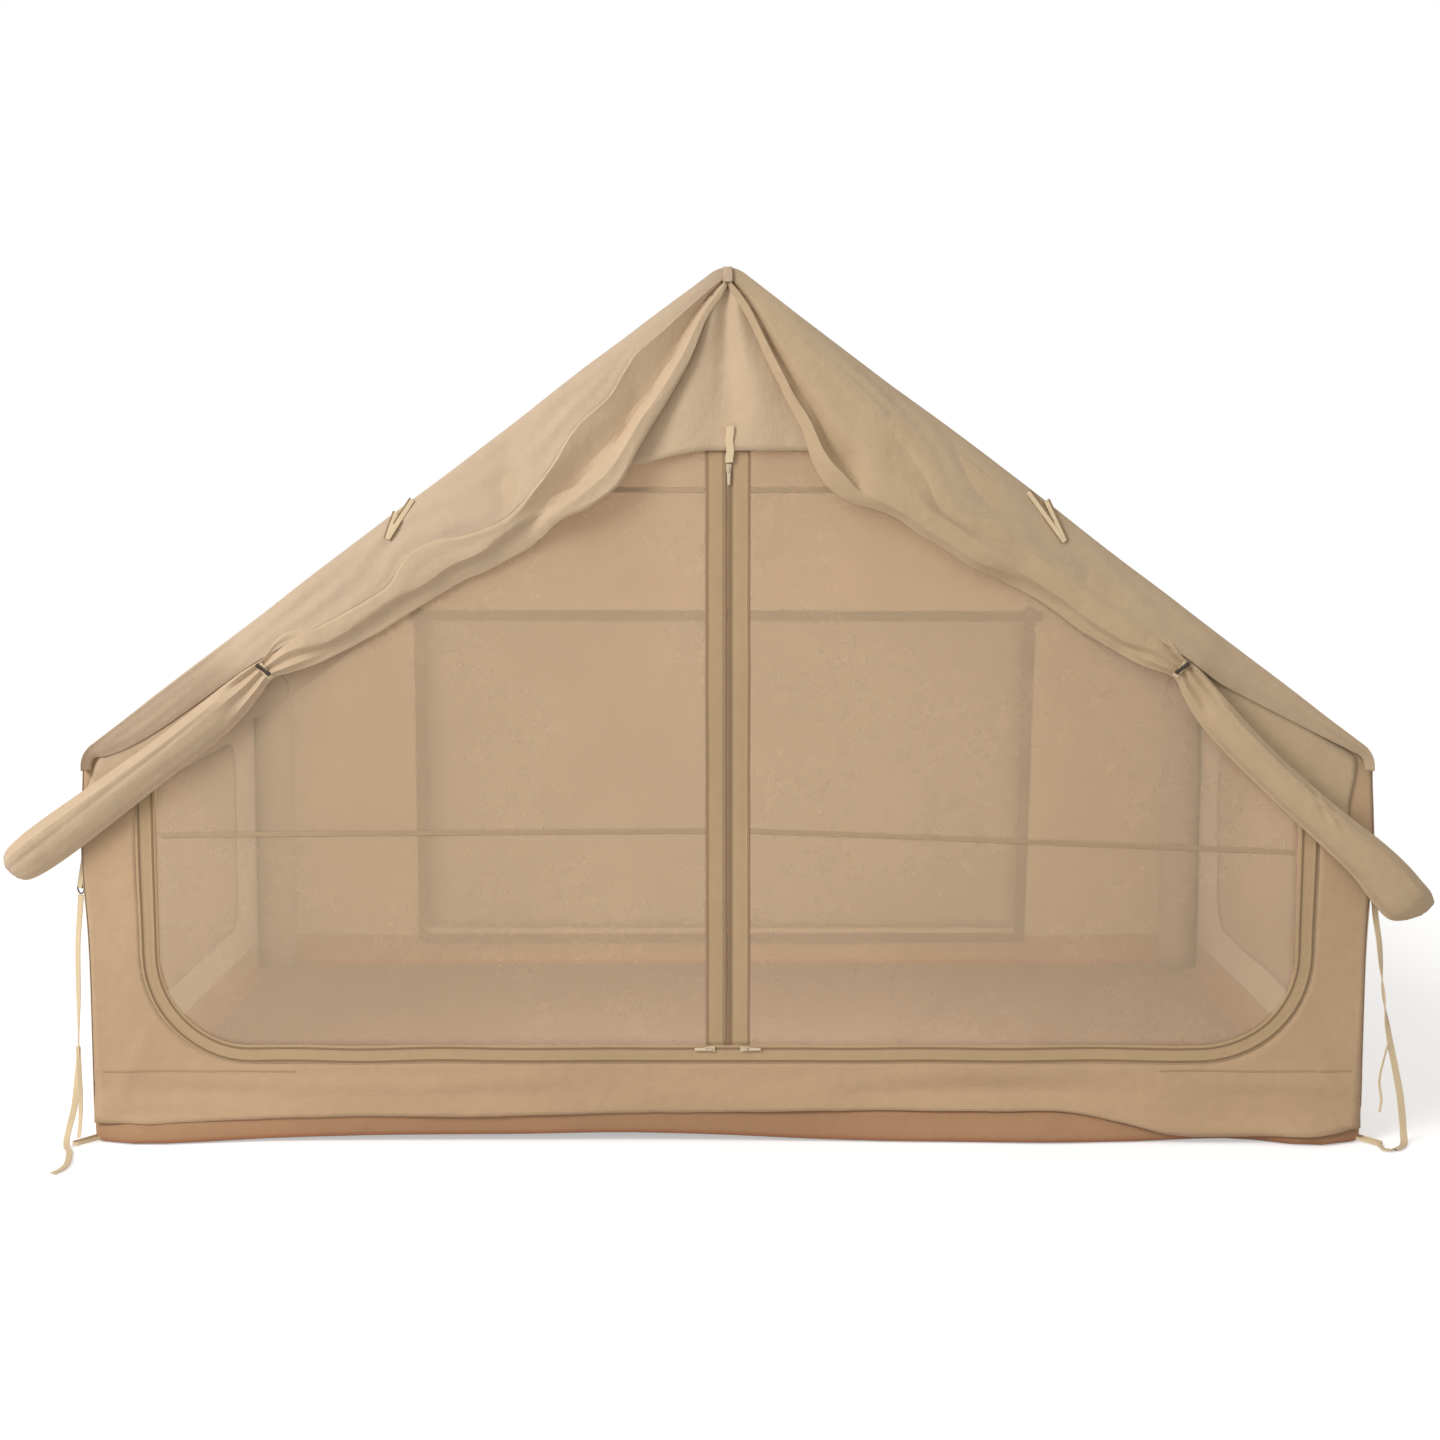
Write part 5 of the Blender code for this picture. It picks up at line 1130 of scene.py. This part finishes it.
def make_groundsheet():
    """The tub: a flat floor, a soft turned-up rim that bellies at the door, and webbing peg loops."""
    rings = [tub_ring(inset, z) for inset, z in (
        (0.0, TUB), (0.0, 0.065), (0.0, 0.045), (0.0005, 0.028), (0.001, 0.014), (0.004, 0.005),
        (0.012, 0.0014), (0.05, 0.0014), (0.3, 0.0014), (0.7, 0.0014), (1.02, 0.0014))]
    count = len(rings[0])
    faces = grid_faces(len(rings), count, wrap=True)
    faces.append(tuple(range((len(rings) - 1) * count, len(rings) * count)))
    points = [p for row in rings for p in row]
    tub = make_mesh("groundsheet_tub", points, faces, [TUB_CLOTH, TUB_EDGE, TUB_FLOOR_PAINTED_SHADE])
    # The floor inside the tent takes the darker copy of the PVC as painted shade
    parts = [0 if i < 4 * count else (1 if i < 7 * count else 2) for i in range(len(faces))]
    tub.data.polygons.foreach_set("material_index", parts)
    finish(tub, (0, 0, -1), HEAVY_CLOTH, "groundsheet_pvc", "groundsheet", offset=-1.0)
    line = [(-0.012, -0.011)] + arc((0.045, 0), 0.011, -math.pi / 2, math.pi / 2, 10) + [(-0.012, 0.011)]
    for name, side, end in (("front_left", -1, -1), ("front_right", 1, -1),
                            ("rear_right", 1, 1), ("rear_left", -1, 1)):
        outward = Vector((side, end, 0)).normalized()
        across = Vector((-outward.y, outward.x, 0))
        corner = Vector((side * HALF_WIDTH, end * HALF_DEPTH, 0.0115))
        path = smooth_route([corner + outward * u + across * v + Vector((0, 0, -0.004 * smooth(0, 0.06, u)))
                             for u, v in line], 0.006)
        settle(ribbon(f"{name}_peg_loop", path, (0, 0, 1), 0.008, 0.0022, WEBBING), "webbing")


def tube_rows(path, radius, sides):
    """Rings along a bent beam: mitred on the inside of each bend and rounded on the outside."""
    rearward = Vector((0, 1, 0))
    rows = []
    steps = [(b - a).normalized() for a, b in zip(path, path[1:])]

    def ring(point, along, r):
        side = along.cross(rearward).normalized()
        angles = [2 * math.pi * i / sides for i in range(sides)]
        return [point + r * (math.cos(a) * rearward + math.sin(a) * side) for a in angles]

    for n, (a, b) in enumerate(zip(path, path[1:])):
        along = steps[n]
        count = max(6, round((b - a).length / 0.07))
        bent = n < len(path) - 2
        for k in range(1 if n > 0 else 0, count if bent else count + 1):
            point = a + (b - a) * (k / count)
            row = ring(point, along, radius * (1 + 0.006 * wobble(point.x * 5, point.y * 3, point.z * 5)))
            for joint, sign, other in ((a, -1, n - 1), (b, 1, n + 1)):
                if not 0 <= other < len(steps):
                    continue
                bend = (along + steps[other]).normalized()
                fixed = []
                for p in row:
                    ahead = (p - joint).dot(bend)
                    reach = -ahead / along.dot(bend)
                    fixed.append(p + along * (reach - sign * 0.004) if ahead * sign > -0.004 else p)
                row = fixed
            rows.append(row)
        if bent:
            after = steps[n + 1]
            bend = (along + after).normalized()
            half_turn = along.angle(after) / 2
            axis = along.cross(after).normalized()
            for share in (-1.0, -0.66, -0.33, 0.0, 0.33, 0.66, 1.0):
                first = share <= 0
                base = along if first else after
                spin = Matrix.Rotation(half_turn * (1 + share if first else share - 1), 3, axis)
                back = (0.004 + 0.010 * abs(share)) * (0 if share == 0 else (-1 if first else 1))
                row = []
                for p in ring(Vector((0, 0, 0)), base, radius):
                    reach = -p.dot(bend) / base.dot(bend)
                    outer = (p + base * reach).length > radius and reach * (1 if first else -1) > 0
                    row.append(b + spin @ p if outer else b + p + base * (reach + back))
                rows.append(row)
    return rows


def make_sleeves():
    """Air beams in their cloth sleeves, seen through the mesh and from inside."""
    radius = BEAM - 0.0006
    for label, y in (("front", -FRAME_Y), ("rear", FRAME_Y)):
        path = [Vector((x, y, z)) for x, z in ((-POST_X, 0.0034), (-POST_X, EAVE), (0, RIDGE), (POST_X, EAVE),
                                               (POST_X, 0.0034))]
        nodes = [f"{label}_{side}_{part}" for side in ("left", "right") for part in ("post", "rafter")]
        finish_sleeve(f"{label}_frame_sleeves", tube_rows(path, radius, 40), *nodes)
    for name, x, z in (("left_eave_beam", -POST_X, EAVE), ("right_eave_beam", POST_X, EAVE),
                       ("ridge_beam", 0, RIDGE)):
        rows = []
        for y in spread(0.058 - FRAME_Y, FRAME_Y - 0.058, 30):
            r = radius * (1 + 0.006 * wobble(y * 4, x, z) - 0.02 * smooth(0.86, 0.93, abs(y)))
            rows.append([Vector((u, y, v)) for u, v in arc((x, z), r, 0, 2 * math.pi, 40)[:-1]])
        finish_sleeve(name + "_sleeve", rows, name)


def finish_sleeve(name, rows, *nodes):
    made = grid_object(name, rows, [SLEEVE], wrap=True)
    solidify(made, THIN_CLOTH, -1.0)
    settle(made, "beam_sleeve", *nodes)


def make_roof_tabs():
    """A narrow loop of folded webbing on each roof half, near its front edge, over a wider dark strip that is
    its painted shadow.
    """
    for side, label, first, tip, last in ((-1, "left", (0.480, 0.000), (0.535, 0.0205), (0.505, 0.000)),
                                          (1, "right", (0.460, 0.003), (0.535, 0.0255), (0.484, -0.002))):
        # The _edge strip is binding cloth laid wider under the webbing loop as the loop's painted shadow
        for name, width, lift, cloth in (("", 0.0100, 0.0044, WEBBING), ("_edge", 0.0190, 0.0014, BINDING)):
            path = []
            for (a, b), (c, d), shares in ((first, tip, (0, 0.25, 0.5, 0.75, 0.96)),
                                           (tip, last, (0.06, 0.25, 0.5, 0.75, 1.0))):
                for t in shares:
                    s, n = a + (c - a) * t, b + (d - b) * t
                    y = hem_front(side, s, max(n, 0) * SLOPE_LENGTH) - lift
                    path.append(curtain_place(side, s * SLOPE_LENGTH, n * SLOPE_LENGTH, y))

            def across(i, share):
                return Vector((0, 1, 0)).cross(path[min(i + 1, len(path) - 1)] - path[max(i - 1, 0)])

            settle(ribbon(f"{label}_roof_tab{name}", path, across, width, 0.0018, cloth), "webbing")


def dress_nodes():
    """Materials for the CAD nodes that are shown as they are."""
    finishes = (("_ring", METAL), ("zip_slider", ZIP_METAL), ("zip_pull", ZIP_METAL), ("_tie", WEBBING),
                ("guy_tab", WEBBING), ("bladder", FILM), ("valve", PLASTIC), ("toggle", TOGGLE_PLASTIC))
    for name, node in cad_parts.items():
        found = [material for word, material in finishes if word in name]
        node.data.materials.clear()
        node.data.materials.append(found[0] if found else CANVAS)


def make_studio():
    """A white floor and background, a soft key light from the upper left and an even fill."""
    scene = bpy.context.scene
    scene.view_settings.view_transform = "Standard"
    world = bpy.data.worlds.new("studio")
    scene.world = world
    world.use_nodes = True
    tree = world.node_tree
    join = tree.links.new
    tree.nodes.clear()
    path = tree.nodes.new("ShaderNodeLightPath")
    seen = tree.nodes.new("ShaderNodeMath")
    seen.operation = "MAXIMUM"
    join(path.outputs["Is Camera Ray"], seen.inputs[0])
    join(path.outputs["Is Glossy Ray"], seen.inputs[1])
    fill = add_node(tree, "ShaderNodeBackground", Color=(1, 0.985, 0.965, 1), Strength=FILL_STRENGTH)
    white = add_node(tree, "ShaderNodeBackground", Color=(1, 1, 1, 1))
    mix = tree.nodes.new("ShaderNodeMixShader")
    out = tree.nodes.new("ShaderNodeOutputWorld")
    join(seen.outputs["Value"], mix.inputs["Fac"])
    join(fill.outputs["Background"], mix.inputs[1])
    join(white.outputs["Background"], mix.inputs[2])
    join(mix.outputs["Shader"], out.inputs["Surface"])
    corners = [(x, y, FLOOR_HEIGHT) for x, y in ((-FLOOR_HALF, FLOOR_NEAR), (FLOOR_HALF, FLOOR_NEAR),
                                                 (FLOOR_HALF, FLOOR_FAR), (-FLOOR_HALF, FLOOR_FAR))]
    floor = make_mesh("floor", corners, [(0, 1, 2, 3)], [], smooth_shade=False)
    material, tree, shader = new_material("floor", (0.82, 0.82, 0.82), 0.9)
    join = tree.links.new
    path = tree.nodes.new("ShaderNodeLightPath")
    glow = add_node(tree, "ShaderNodeEmission", Color=(1, 1, 1, 1))
    strength = tree.nodes.new("ShaderNodeMath")
    strength.operation = "MULTIPLY"
    strength.inputs[1].default_value = FLOOR_GLOW
    join(path.outputs["Is Camera Ray"], strength.inputs[0])
    join(strength.outputs["Value"], glow.inputs["Strength"])
    add = tree.nodes.new("ShaderNodeAddShader")
    join(shader.outputs["BSDF"], add.inputs[0])
    join(glow.outputs["Emission"], add.inputs[1])
    join(add.outputs["Shader"], tree.nodes["Material Output"].inputs["Surface"])
    floor.data.materials.append(material)
    key = bpy.data.lights.new("key", "SUN")
    key.energy = KEY_POWER
    key.angle = math.radians(20)
    add_lamp(key, (0, 0, 4), (0.85, 0.80, -0.95))
    window = bpy.data.lights.new("window", "AREA")
    window.shape = "DISK"
    window.size = 2.2
    window.energy = WINDOW_POWER
    add_lamp(window, (-4.0, -4.6, 3.3), (3.7, 3.6, -2.3))
    inner = bpy.data.lights.new("inner", "AREA")
    inner.shape = "RECTANGLE"
    inner.size = 1.8
    inner.size_y = 0.9
    inner.energy = INNER_POWER
    inner.color = (0.96, 0.985, 1.0)
    lamp = add_lamp(inner, (0, -0.80, 0.72), (0, 1, -0.05))
    lamp.visible_camera = False


def add_lamp(data, place, direction):
    lamp = bpy.data.objects.new(data.name, data)
    lamp.location = place
    lamp.rotation_euler = Vector(direction).to_track_quat("-Z", "Y").to_euler()
    bpy.context.scene.collection.objects.link(lamp)
    return lamp


make_camera()
make_straps()
make_front()
make_mesh_doors()
make_curtains()
make_roof()
make_walls()
make_groundsheet()
make_sleeves()
make_roof_tabs()
dress_nodes()
make_studio()
